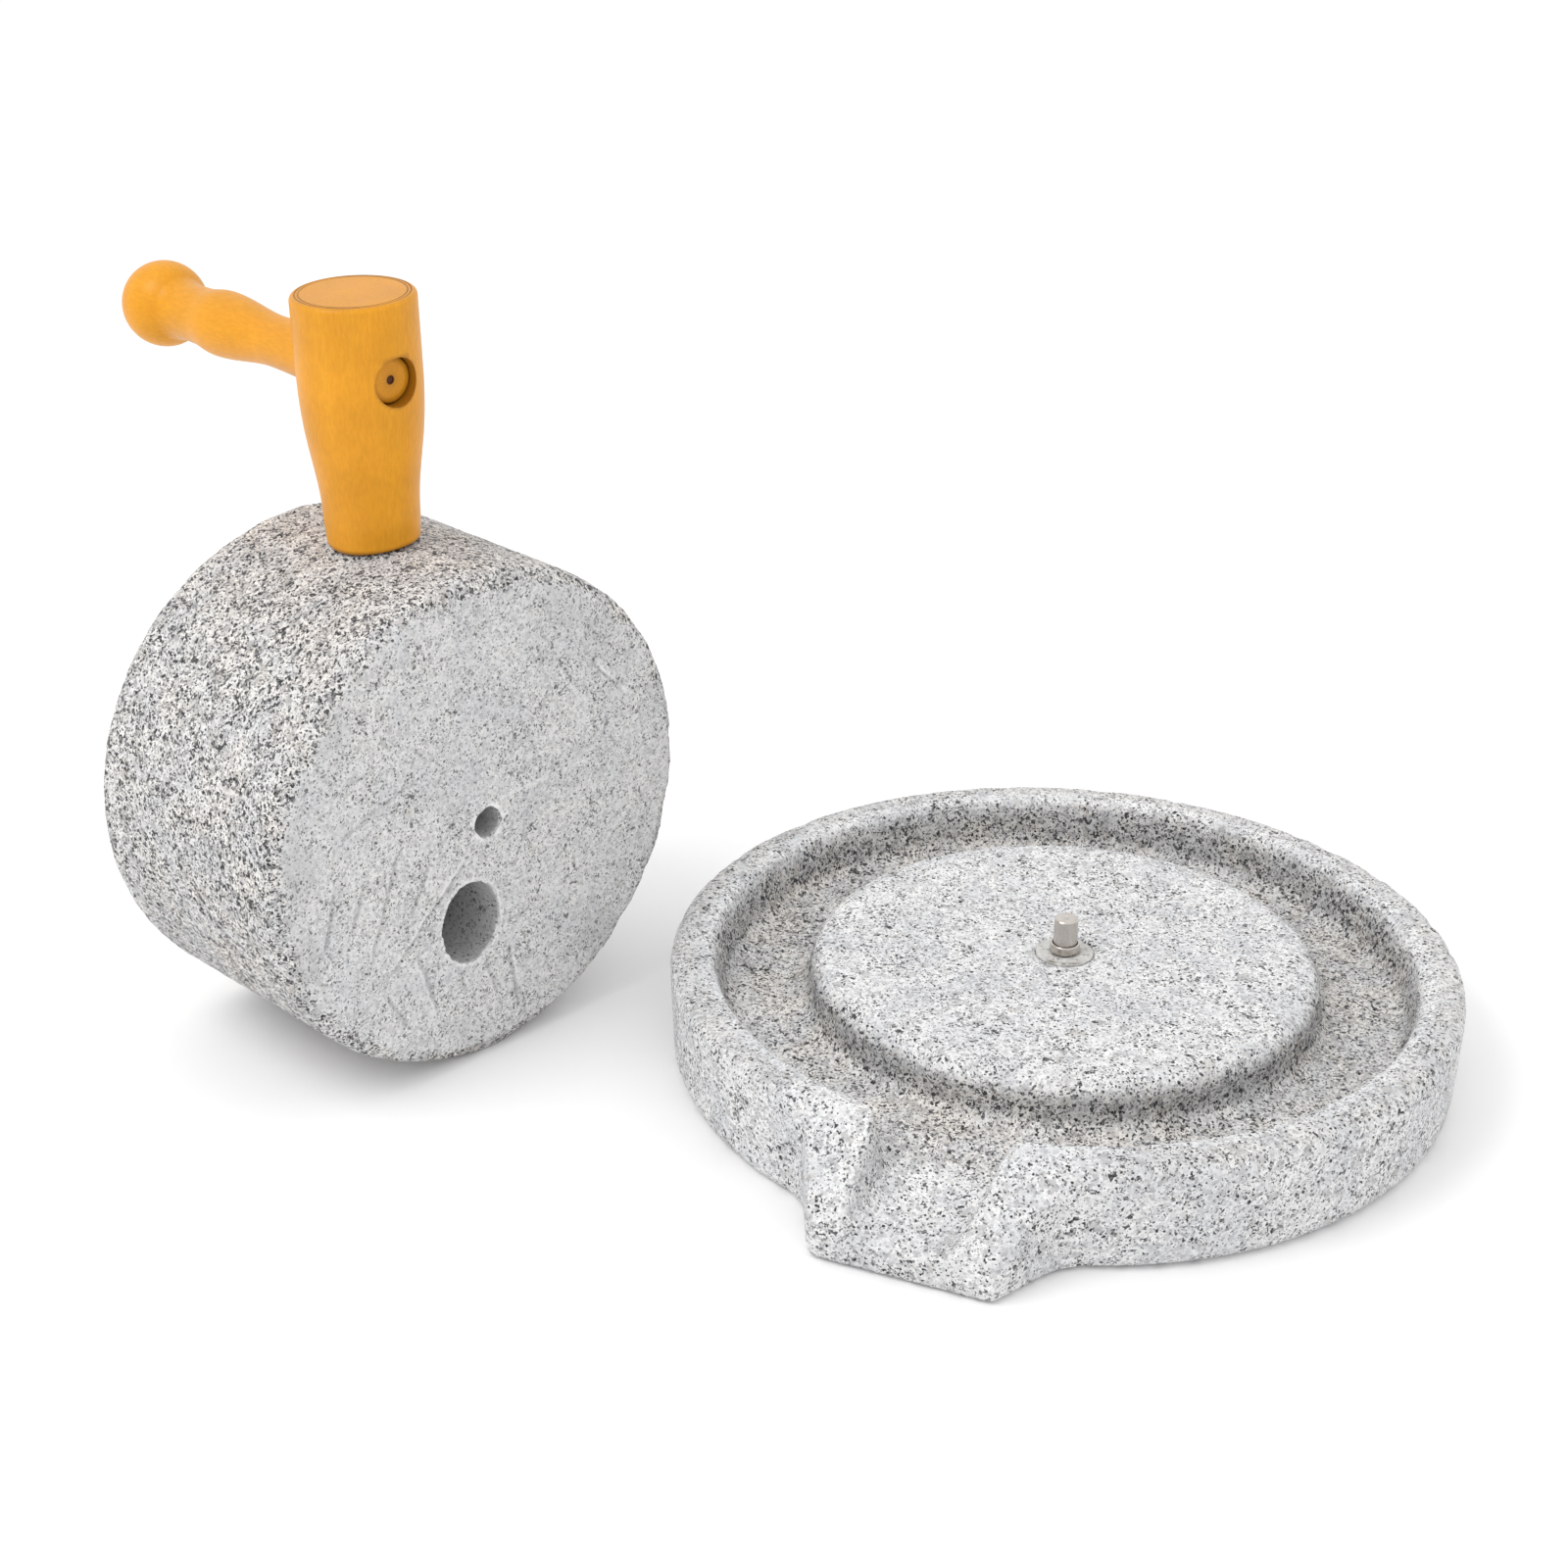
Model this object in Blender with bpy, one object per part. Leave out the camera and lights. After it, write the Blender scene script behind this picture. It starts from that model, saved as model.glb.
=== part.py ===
# Small granite hand quern, shown taken apart: a round bedstone with a steel spindle,
# a trough and a pouring spout, and beside it the runner stone, lifted off and stood
# on its rim with its turned wooden handle pointing up.
# Units are metres, +Z is up. The origin is the centre of the bedstone's underside,
# and the runner's axis lies along X, with its grinding face toward +X.

import math

import bmesh
import bpy

# Fits
GAP = 0.0003                    # between pieces that touch
BORE_CLEARANCE = 0.0003         # runner's bore around the spindle's collar

# Grinding faces, which match in size
GRIND_RADIUS = 0.090            # of the runner stone and of the raised face under it

# Bedstone
FACE_HEIGHT = 0.0388             # top of the raised grinding face
SHOULDER_ROUND = 0.008          # rounded edge of the raised face
TROUGH_FLOOR = 0.022            # height of the trough's floor
TROUGH_WIDTH = 0.0293            # from the raised face's wall to the rim's wall
TROUGH_INNER_ROUND = 0.006
TROUGH_OUTER_ROUND = 0.005
RIM_HEIGHT = 0.0389
RIM_BATTER = 0.003              # the rim's inner wall leans outward by this
RIM_WIDTH = 0.0165               # from the rim's inner wall to its outer wall
RIM_INNER_ROUND = 0.003
RIM_OUTER_ROUND = 0.0047
OUTER_TAPER = 0.0012            # the outer wall is this much narrower at the foot
FOOT_ROUND = 0.0045
BED_SEGMENTS = 72

# Pouring spout
SPOUT_DIRECTION = math.radians(-69.2)   # from +X, seen from above
SPOUT_REACH = 0.0182            # how far the outlet stands out from the rim
SPOUT_HALF_WIDTH = 0.0312       # at the outlet
SPOUT_SPREAD = 0.49             # widening of each side for each metre toward the stone
SPOUT_CORNER_ROUND = 0.004
SPOUT_EDGE_ROUND = 0.0025
SPOUT_FLARE_ROUND = 0.014       # fillet between the spout's sides and the round wall
SPOUT_WALL_DROP = 0.0229        # how far the spout's top falls from the rim to the outlet
SPOUT_ROOT_OVERLAP = 0.010      # how far the spout's body reaches into the rim
SPOUT_SLOPE_BEARING = math.radians(14.0)    # either side of the spout the rim slopes fully,
SPOUT_LEVEL_BEARING = math.radians(25.0)    # and here it is level again
LIP_HEIGHT = 0.0105             # channel's floor at the outlet
CHANNEL_HALF_WIDTH_OUT = 0.0138
CHANNEL_HALF_WIDTH_IN = 0.0175
CHANNEL_WALL_LEAN = 0.0048       # each channel wall leans outward by this
CHANNEL_FLOOR_ROUND = 0.003
CHANNEL_EDGE_ROUND = 0.002
CHANNEL_MOUTH_ROUND = 0.006     # rounding where the channel leaves the trough

# Steel spindle and its setting
PIN_RADIUS = 0.0042
PIN_RISE = 0.0132               # above the raised grinding face
PIN_CHAMFER = 0.0006
PIN_SET_DEPTH = 0.022           # into the bedstone
COLLAR_RADIUS = 0.0052
COLLAR_HEIGHT = 0.0032
COLLAR_ROUND = 0.0004
GROUT_RADIUS = 0.0097
GROUT_DEPTH = 0.005
PIN_SEGMENTS = 24
GROUT_SEGMENTS = 28

# Runner stone
RUNNER_THICKNESS = 0.1018
FACE_EDGE_ROUND = 0.0055
BACK_EDGE_ROUND = 0.0075
FOOT_FLAT_WIDTH = 0.016         # flat spot that it stands on
BORE_EXTRA_DEPTH = 0.006        # blind bore past the end of the pin
FEED_HALF_WIDTH = 0.0125        # the feed hole is a little taller than wide
FEED_HALF_HEIGHT = 0.0152
FEED_OFFSET = 0.0364            # from the runner's axis
FEED_ANGLE = math.radians(255.5)    # around that axis, seen from the grinding face
FUNNEL_HALF_WIDTH = 0.023       # mouth of the feed hole on the hidden back
FUNNEL_DEPTH = 0.014
RUNNER_SEGMENTS = 64
HOLE_SEGMENTS = 28

# Where the runner stands beside the bedstone, its face level with the rim's far point
RUNNER_NEAR_Y = 0.0542           # its near side, from the X axis
RUNNER_TURN = math.radians(2.0)     # about its own axis, which leans the arm toward -Y

# Turned wooden arm, set upright in the runner's rim
ARM_HEIGHT = 0.0858             # above the rim
ARM_FOOT_RADIUS = 0.0158
ARM_WAIST_RADIUS = 0.0163
ARM_WAIST_HEIGHT = 0.010
ARM_SWELL_RADIUS = 0.0191
ARM_SWELL_HEIGHT = 0.035
ARM_SWELL_SLOPE = 0.15
ARM_TOP_RADIUS = 0.0208
ARM_FULL_HEIGHT = 0.060         # where the arm reaches its top radius
ARM_TOP_ROUND = 0.0018
ARM_TENON_RADIUS = 0.011
ARM_TENON_LENGTH = 0.034
ARM_SEGMENTS = 36

# Turned wooden grip, pegged through the arm and pointing away from the grinding face
GRIP_HEIGHT = 0.0596            # its axis, above the rim
GRIP_TENON_RADIUS = 0.0080
GRIP_TENON_SET_BACK = 0.0045    # the tenon's end, inside the arm's surface
GRIP_TENON_CHAMFER = 0.0007
GRIP_REACH = 0.1114             # from the arm's axis to the centre of the ball
GRIP_BALL_RADIUS = 0.0151
GRIP_JOIN_RADIUS = 0.0112       # where the ball runs into the stem
GRIP_WAIST_RADIUS = 0.0100
GRIP_WAIST_BACK = 0.0234        # from the ball's centre
GRIP_BULGE_RADIUS = 0.0115
GRIP_BULGE_BACK = 0.0364
GRIP_NECK_RADIUS = 0.0088
GRIP_NECK_BACK = 0.0665
GRIP_SHOULDER_RADIUS = 0.0102
GRIP_SHOULDER_DEPTH = 0.0145    # neck's end, from the arm's axis, before it is scribed
GRIP_SEGMENTS = 28

# Sizes that follow from the ones above
RIM_INNER_RADIUS = GRIND_RADIUS + TROUGH_WIDTH
BED_RADIUS = RIM_INNER_RADIUS + RIM_BATTER + RIM_WIDTH
OUTLET_REACH = BED_RADIUS + SPOUT_REACH
BORE_RADIUS = COLLAR_RADIUS + BORE_CLEARANCE
BORE_DEPTH = PIN_RISE + BORE_EXTRA_DEPTH
FOOT_FLAT_DEPTH = GRIND_RADIUS - math.sqrt(GRIND_RADIUS ** 2 - (FOOT_FLAT_WIDTH / 2) ** 2)
RUNNER_AXIS_HEIGHT = GRIND_RADIUS - FOOT_FLAT_DEPTH
RUNNER_FACE_X = -BED_RADIUS
RUNNER_AXIS_Y = -(RUNNER_NEAR_Y + GRIND_RADIUS)
TUNNEL_RADIUS = GRIP_TENON_RADIUS + GAP
ARM_FROM_FACE = RUNNER_THICKNESS / 2     # the arm stands in the middle of the rim
PAST = 0.01                     # how far a cutter runs past what it cuts


def clear_scene():
    for thing in list(bpy.data.objects):
        bpy.data.objects.remove(thing, do_unlink=True)


def material(name, colour, roughness, metallic=0.0):
    mat = bpy.data.materials.new(name)
    mat.use_nodes = True
    shader = mat.node_tree.nodes["Principled BSDF"]
    shader.inputs["Base Color"].default_value = (*colour, 1.0)
    shader.inputs["Roughness"].default_value = roughness
    shader.inputs["Metallic"].default_value = metallic
    return mat


def arc(centre_r, centre_z, radius, start, end, steps):
    """Points (r, z) on an arc, its angles in degrees from the outward direction."""
    points = []
    for i in range(steps + 1):
        angle = math.radians(start + (end - start) * i / steps)
        points.append((centre_r + radius * math.cos(angle), centre_z + radius * math.sin(angle)))
    return points


def eased(start, end, slope_start, slope_end, steps):
    """Points from one (place, radius) pair to the next on a smooth cubic, the first left out."""
    span = end[0] - start[0]
    points = []
    for i in range(1, steps + 1):
        t = i / steps
        radius = ((2 * t ** 3 - 3 * t ** 2 + 1) * start[1]
                  + (t ** 3 - 2 * t ** 2 + t) * span * slope_start
                  + (3 * t ** 2 - 2 * t ** 3) * end[1]
                  + (t ** 3 - t ** 2) * span * slope_end)
        points.append((start[0] + span * t, radius))
    return points


def finish_mesh(name, bm, mat=None):
    bmesh.ops.recalc_face_normals(bm, faces=bm.faces)
    mesh = bpy.data.meshes.new(name)
    bm.to_mesh(mesh)
    bm.free()
    piece = bpy.data.objects.new(name, mesh)
    bpy.context.collection.objects.link(piece)
    if mat is not None:
        mesh.materials.append(mat)
        mesh.shade_smooth()
        mesh.set_sharp_from_angle(angle=math.radians(35))
    return piece


def turned(name, outline, segments, mat=None):
    """A solid turned about Z from an outline of (r, z) points that starts and ends on the axis."""
    bm = bmesh.new()
    verts = [bm.verts.new((r, 0.0, z)) for r, z in outline]
    edges = [bm.edges.new(pair) for pair in zip(verts, verts[1:])]
    bmesh.ops.spin(bm, geom=verts + edges, cent=(0, 0, 0), axis=(0, 0, 1),
                   angle=2 * math.pi, steps=segments, use_merge=True)
    bmesh.ops.remove_doubles(bm, verts=bm.verts, dist=1e-6)
    return finish_mesh(name, bm, mat)


def ring(name, inner, outer, low, high, segments, mat, edge_round=0.0):
    """A flat ring about Z with a square or slightly eased outer top edge."""
    outline = [(inner, low), (outer, low)]
    if edge_round > 0:
        outline += arc(outer - edge_round, high - edge_round, edge_round, 0, 90, 2)
    else:
        outline.append((outer, high))
    outline.append((inner, high))
    bm = bmesh.new()
    verts = [bm.verts.new((r, 0.0, z)) for r, z in outline]
    edges = [bm.edges.new(pair) for pair in zip(verts, verts[1:] + verts[:1])]
    bmesh.ops.spin(bm, geom=verts + edges, cent=(0, 0, 0), axis=(0, 0, 1),
                   angle=2 * math.pi, steps=segments, use_merge=True)
    return finish_mesh(name, bm, mat)


def rod(name, radius, low, high, segments):
    """A plain round cutter or tenon about Z."""
    return turned(name, [(0, high), (radius, high), (radius, low), (0, low)], segments)


def as_cutter(piece, parent=None):
    piece.hide_render = True
    piece.display_type = "WIRE"
    if parent is not None:
        piece.parent = parent
    return piece


def boolean(piece, other, operation):
    step = piece.modifiers.new(operation.lower(), "BOOLEAN")
    step.operation = operation
    step.solver = "EXACT"
    step.object = other


def bed_profile():
    """The bedstone's outline from the middle of its raised face out, down and back in."""
    inner = RIM_INNER_RADIUS
    batter_top = inner + RIM_BATTER
    outline = [(0.0, FACE_HEIGHT)]
    outline += arc(GRIND_RADIUS - SHOULDER_ROUND, FACE_HEIGHT - SHOULDER_ROUND,
                   SHOULDER_ROUND, 90, 0, 4)
    outline += arc(GRIND_RADIUS + TROUGH_INNER_ROUND, TROUGH_FLOOR + TROUGH_INNER_ROUND,
                   TROUGH_INNER_ROUND, 180, 270, 3)
    outline += arc(inner - TROUGH_OUTER_ROUND, TROUGH_FLOOR + TROUGH_OUTER_ROUND,
                   TROUGH_OUTER_ROUND, 270, 360, 3)
    outline += arc(batter_top + RIM_INNER_ROUND, RIM_HEIGHT - RIM_INNER_ROUND,
                   RIM_INNER_ROUND, 180, 90, 2)
    outline += arc(BED_RADIUS - RIM_OUTER_ROUND, RIM_HEIGHT - RIM_OUTER_ROUND,
                   RIM_OUTER_ROUND, 90, 0, 3)
    outline += arc(BED_RADIUS - OUTER_TAPER - FOOT_ROUND, FOOT_ROUND, FOOT_ROUND, 0, -90, 2)
    outline.append((0.0, 0.0))
    return outline


def spout_top(along):
    """Height of the spout's sloping top, which starts level with the rim."""
    start = BED_RADIUS - RIM_WIDTH
    share = min(max((along - start) / (OUTLET_REACH - start), 0.0), 1.0)
    return RIM_HEIGHT - SPOUT_WALL_DROP * share


def spout_half_plan():
    """One side of the spout seen from above, from the middle of its outlet to its root."""
    wall = BED_RADIUS - OUTER_TAPER
    lean = math.atan(SPOUT_SPREAD)
    corner = SPOUT_CORNER_ROUND
    corner_y = SPOUT_HALF_WIDTH - corner * (1 / math.cos(lean) - math.tan(lean))
    points = [(OUTLET_REACH, 0.0)]
    for i in range(4):
        angle = i / 3 * (math.pi / 2 - lean)
        points.append((OUTLET_REACH - corner + corner * math.cos(angle),
                       corner_y + corner * math.sin(angle)))
    flare = SPOUT_FLARE_ROUND
    far = wall + flare
    # The flare's centre lies one flare radius off the straight side and off the round wall
    side_at_middle = SPOUT_HALF_WIDTH + OUTLET_REACH * SPOUT_SPREAD + flare / math.cos(lean)
    a = 1 + SPOUT_SPREAD ** 2
    b = -2 * side_at_middle * SPOUT_SPREAD
    c = side_at_middle ** 2 - far ** 2
    centre_x = (-b + math.sqrt(b * b - 4 * a * c)) / (2 * a)
    centre_y = side_at_middle - SPOUT_SPREAD * centre_x
    first = -math.pi / 2 - lean
    last = math.atan2(-centre_y, -centre_x)
    for i in range(5):
        angle = first + (last - first) * i / 4
        points.append((centre_x + flare * math.cos(angle), centre_y + flare * math.sin(angle)))
    root = wall - SPOUT_ROOT_OVERLAP
    bearing = math.atan2(points[-1][1], points[-1][0])
    for i in range(3):
        angle = bearing * (1 - i / 2)
        points.append((root * math.cos(angle), root * math.sin(angle)))
    return points


def spout_block():
    """The spout's body: its plan raised to the sloping top, with eased edges."""
    half = spout_half_plan()
    plan = half + [(x, -y) for x, y in reversed(half[1:-1])]
    bm = bmesh.new()
    base = bm.faces.new([bm.verts.new((x, y, 0.0)) for x, y in plan])
    raised = bmesh.ops.extrude_face_region(bm, geom=[base])
    for vert in [g for g in raised["geom"] if isinstance(g, bmesh.types.BMVert)]:
        vert.co.z = spout_top(vert.co.x)
    bmesh.ops.recalc_face_normals(bm, faces=bm.faces)
    root_end = BED_RADIUS - OUTER_TAPER - SPOUT_ROOT_OVERLAP / 2
    rims = [e for e in bm.edges
            if abs(e.verts[0].co.z - e.verts[1].co.z) < SPOUT_WALL_DROP
            and max(math.hypot(v.co.x, v.co.y) for v in e.verts) > root_end
            and len([f for f in e.link_faces if abs(f.normal.z) > 0.5]) == 1]
    bmesh.ops.bevel(bm, geom=rims, offset=SPOUT_EDGE_ROUND, segments=2, profile=0.5,
                    affect="EDGES", clamp_overlap=True)
    bmesh.ops.triangulate(bm, faces=[f for f in bm.faces if len(f.verts) > 4])
    return finish_mesh("spout_block", bm)


def slope_cutter():
    """The space above the rim where it slopes down into the spout's sides."""
    radii = [RIM_INNER_RADIUS - PAST, BED_RADIUS - RIM_WIDTH, BED_RADIUS - RIM_WIDTH * 0.6,
             BED_RADIUS - RIM_WIDTH * 0.3, BED_RADIUS + GAP]
    steps = 12
    bm = bmesh.new()
    lower = []
    upper = []
    for i in range(steps + 1):
        bearing = SPOUT_LEVEL_BEARING * (2 * i / steps - 1)
        level = (abs(bearing) - SPOUT_SLOPE_BEARING) / (SPOUT_LEVEL_BEARING - SPOUT_SLOPE_BEARING)
        level = min(max(level, 0.0), 1.0)
        slope = 1 - level * level * (3 - 2 * level)
        places = [(r * math.cos(bearing), r * math.sin(bearing)) for r in radii]
        lower.append([bm.verts.new((x, y, RIM_HEIGHT + GAP / 6
                                    - slope * (RIM_HEIGHT - spout_top(x)))) for x, y in places])
        upper.append([bm.verts.new((x, y, RIM_HEIGHT + PAST)) for x, y in places])
    last = len(radii) - 1
    for i in range(steps):
        for j in range(last):
            bm.faces.new((lower[i][j], lower[i + 1][j], lower[i + 1][j + 1], lower[i][j + 1]))
            bm.faces.new((upper[i][j], upper[i][j + 1], upper[i + 1][j + 1], upper[i + 1][j]))
        for j in (0, last):
            bm.faces.new((lower[i][j], upper[i][j], upper[i + 1][j], lower[i + 1][j]))
    for i in (0, steps):
        for j in range(last):
            bm.faces.new((lower[i][j], lower[i][j + 1], upper[i][j + 1], upper[i][j]))
    bmesh.ops.triangulate(bm, faces=bm.faces)
    return finish_mesh("slope_cutter", bm)


def channel_half_width(along):
    """Half-width of the channel's floor, opening out where it leaves the trough."""
    start = RIM_INNER_RADIUS
    share = (along - start) / (OUTLET_REACH - start)
    width = CHANNEL_HALF_WIDTH_IN + (CHANNEL_HALF_WIDTH_OUT - CHANNEL_HALF_WIDTH_IN) * share
    into_mouth = min(max(start + CHANNEL_MOUTH_ROUND - along, 0.0) / CHANNEL_MOUTH_ROUND, 1.0)
    return width + CHANNEL_MOUTH_ROUND * (1 - math.sqrt(1 - into_mouth ** 2))


def channel_floor(along):
    """Height of the channel's floor, which falls from the trough to the lip."""
    start = GRIND_RADIUS + TROUGH_WIDTH / 2
    share = (along - start) / (OUTLET_REACH - start)
    return TROUGH_FLOOR + (LIP_HEIGHT - TROUGH_FLOOR) * share


def channel_cutter():
    """The space of the pouring channel, lofted from the trough to past the outlet."""
    start = GRIND_RADIUS + TROUGH_WIDTH / 2
    stations = [start, RIM_INNER_RADIUS]
    stations += [RIM_INNER_RADIUS + CHANNEL_MOUTH_ROUND * s for s in (0.25, 0.6, 1.0)]
    stations += [BED_RADIUS, OUTLET_REACH, OUTLET_REACH + PAST]
    bm = bmesh.new()
    loops = []
    for along in stations:
        floor = channel_floor(along)
        top = spout_top(along)
        foot = channel_half_width(along)
        head = foot + CHANNEL_WALL_LEAN
        half = [(foot - CHANNEL_FLOOR_ROUND, floor),
                (foot - CHANNEL_FLOOR_ROUND * 0.3, floor + CHANNEL_FLOOR_ROUND * 0.3),
                (foot + CHANNEL_WALL_LEAN * 0.3, floor + CHANNEL_FLOOR_ROUND),
                (head, top - CHANNEL_EDGE_ROUND),
                (head + CHANNEL_EDGE_ROUND * 0.3, top - CHANNEL_EDGE_ROUND * 0.3),
                (head + CHANNEL_EDGE_ROUND, top),
                (head + CHANNEL_EDGE_ROUND, FACE_HEIGHT + PAST)]
        section = half + [(-y, z) for y, z in reversed(half)]
        loops.append([bm.verts.new((along, y, z)) for y, z in section])
    for near, far in zip(loops, loops[1:]):
        for i in range(len(near)):
            j = (i + 1) % len(near)
            bm.faces.new((near[i], near[j], far[j], far[i]))
    bm.faces.new(loops[0])
    bm.faces.new(loops[-1])
    return finish_mesh("channel_cutter", bm)


def make_bedstone(granite):
    bedstone = turned("bedstone", bed_profile(), BED_SEGMENTS, granite)
    spout = as_cutter(spout_block(), bedstone)
    slope = as_cutter(slope_cutter(), bedstone)
    channel = as_cutter(channel_cutter(), bedstone)
    seat = rod("grout_seat_cutter", GROUT_RADIUS + GAP, FACE_HEIGHT - GROUT_DEPTH - GAP,
               FACE_HEIGHT + PAST, GROUT_SEGMENTS)
    socket = rod("pin_socket_cutter", PIN_RADIUS + GAP, FACE_HEIGHT - PIN_SET_DEPTH - GAP,
                 FACE_HEIGHT + PAST, PIN_SEGMENTS)
    boolean(bedstone, spout, "UNION")
    boolean(bedstone, slope, "DIFFERENCE")
    boolean(bedstone, channel, "DIFFERENCE")
    boolean(bedstone, as_cutter(seat, bedstone), "DIFFERENCE")
    boolean(bedstone, as_cutter(socket, bedstone), "DIFFERENCE")
    bedstone.rotation_euler = (0, 0, SPOUT_DIRECTION)
    return bedstone


def make_spindle(steel, grout):
    """The pin stands in its socket, the grout ring fills the seat, the collar lies on it."""
    top = FACE_HEIGHT + PIN_RISE
    foot = FACE_HEIGHT - PIN_SET_DEPTH
    outline = [(0, top), (PIN_RADIUS - PIN_CHAMFER, top), (PIN_RADIUS, top - PIN_CHAMFER),
               (PIN_RADIUS, foot), (0, foot)]
    turned("spindle_pin", outline, PIN_SEGMENTS, steel)
    ring("grout_ring", PIN_RADIUS + GAP, GROUT_RADIUS, FACE_HEIGHT - GROUT_DEPTH, FACE_HEIGHT,
         GROUT_SEGMENTS, grout)
    ring("spindle_collar", PIN_RADIUS + GAP, COLLAR_RADIUS, FACE_HEIGHT + GAP,
         FACE_HEIGHT + GAP + COLLAR_HEIGHT, PIN_SEGMENTS, steel, COLLAR_ROUND)


def make_runner(stand, turn, granite):
    """The runner stone, turned about its own Z with the grinding face at the top, then laid over."""
    back = -RUNNER_THICKNESS
    outline = [(0.0, 0.0)]
    outline += arc(GRIND_RADIUS - FACE_EDGE_ROUND, -FACE_EDGE_ROUND, FACE_EDGE_ROUND, 90, 0, 3)
    outline += arc(GRIND_RADIUS - BACK_EDGE_ROUND, back + BACK_EDGE_ROUND, BACK_EDGE_ROUND,
                   0, -90, 3)
    outline.append((0.0, back))
    runner = turned("runner_stone", outline, RUNNER_SEGMENTS, granite)
    runner.parent = stand
    runner.rotation_euler = (0, math.pi / 2, 0)

    bore = rod("bore_cutter", BORE_RADIUS, -BORE_DEPTH, PAST, HOLE_SEGMENTS)
    boolean(runner, as_cutter(bore, runner), "DIFFERENCE")

    slope = (FUNNEL_HALF_WIDTH - FEED_HALF_WIDTH) / FUNNEL_DEPTH
    feed_outline = [(0, PAST), (FEED_HALF_WIDTH, PAST), (FEED_HALF_WIDTH, back + FUNNEL_DEPTH),
                    (FUNNEL_HALF_WIDTH + slope * PAST, back - PAST), (0, back - PAST)]
    feed = as_cutter(turned("feed_cutter", feed_outline, HOLE_SEGMENTS), runner)
    # Seen from the face, right is world +Y and up is world +Z, which is this piece's -X
    feed.location = (-FEED_OFFSET * math.sin(FEED_ANGLE), FEED_OFFSET * math.cos(FEED_ANGLE), 0)
    feed.scale = (FEED_HALF_HEIGHT / FEED_HALF_WIDTH, 1, 1)
    boolean(runner, feed, "DIFFERENCE")

    socket = rod("arm_socket_cutter", ARM_TENON_RADIUS + GAP, -ARM_TENON_LENGTH - GAP, PAST,
                 HOLE_SEGMENTS)
    as_cutter(socket, turn)
    socket.location = (-ARM_FROM_FACE, 0, GRIND_RADIUS)
    boolean(runner, socket, "DIFFERENCE")

    bm = bmesh.new()
    bmesh.ops.create_cube(bm, size=1.0)
    foot = as_cutter(finish_mesh("foot_flat_cutter", bm), runner)
    foot.scale = (PAST, 2 * GRIND_RADIUS, RUNNER_THICKNESS + PAST)
    foot.location = (RUNNER_AXIS_HEIGHT + PAST / 2, 0, back / 2)
    boolean(runner, foot, "DIFFERENCE")
    return runner


def arm_profile(extra=0.0, low=-0.004):
    """The arm's outline above the rim, drawn a little low so that its foot can be scribed."""
    stations = [(low, ARM_FOOT_RADIUS), (0.0, ARM_FOOT_RADIUS)]
    stations += eased((0.0, ARM_FOOT_RADIUS), (ARM_WAIST_HEIGHT, ARM_WAIST_RADIUS), 0, 0, 3)
    stations += eased((ARM_WAIST_HEIGHT, ARM_WAIST_RADIUS), (ARM_SWELL_HEIGHT, ARM_SWELL_RADIUS),
                      0, ARM_SWELL_SLOPE, 4)
    stations += eased((ARM_SWELL_HEIGHT, ARM_SWELL_RADIUS), (ARM_FULL_HEIGHT, ARM_TOP_RADIUS),
                      ARM_SWELL_SLOPE, 0, 4)
    side = [(radius + extra, height) for height, radius in stations]
    crown = arc(ARM_TOP_RADIUS - ARM_TOP_ROUND, ARM_HEIGHT - ARM_TOP_ROUND,
                ARM_TOP_ROUND + extra, 0, 90, 3)
    outline = [(0.0, low)] + side + crown
    outline.append((0.0, ARM_HEIGHT + extra))
    return outline


def make_arm(turn, wood):
    arm = turned("handle_arm", arm_profile(), ARM_SEGMENTS, wood)
    arm.parent = turn
    arm.location = (-ARM_FROM_FACE, 0, GRIND_RADIUS)

    # The foot is scribed to the stone's round rim
    rim = rod("rim_cutter", GRIND_RADIUS + GAP, -GRIND_RADIUS, GRIND_RADIUS, RUNNER_SEGMENTS * 2)
    as_cutter(rim, arm)
    rim.location = (0, 0, -GRIND_RADIUS)
    rim.rotation_euler = (0, math.pi / 2, 0)
    boolean(arm, rim, "DIFFERENCE")

    tenon = as_cutter(rod("arm_tenon", ARM_TENON_RADIUS, -ARM_TENON_LENGTH, ARM_WAIST_HEIGHT,
                          HOLE_SEGMENTS), arm)
    boolean(arm, tenon, "UNION")

    tunnel = rod("tunnel_cutter", TUNNEL_RADIUS, -ARM_TOP_RADIUS - PAST, ARM_TOP_RADIUS + PAST,
                 GRIP_SEGMENTS)
    as_cutter(tunnel, arm)
    tunnel.location = (0, 0, GRIP_HEIGHT)
    tunnel.rotation_euler = (0, math.pi / 2, 0)
    boolean(arm, tunnel, "DIFFERENCE")
    return arm


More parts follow.
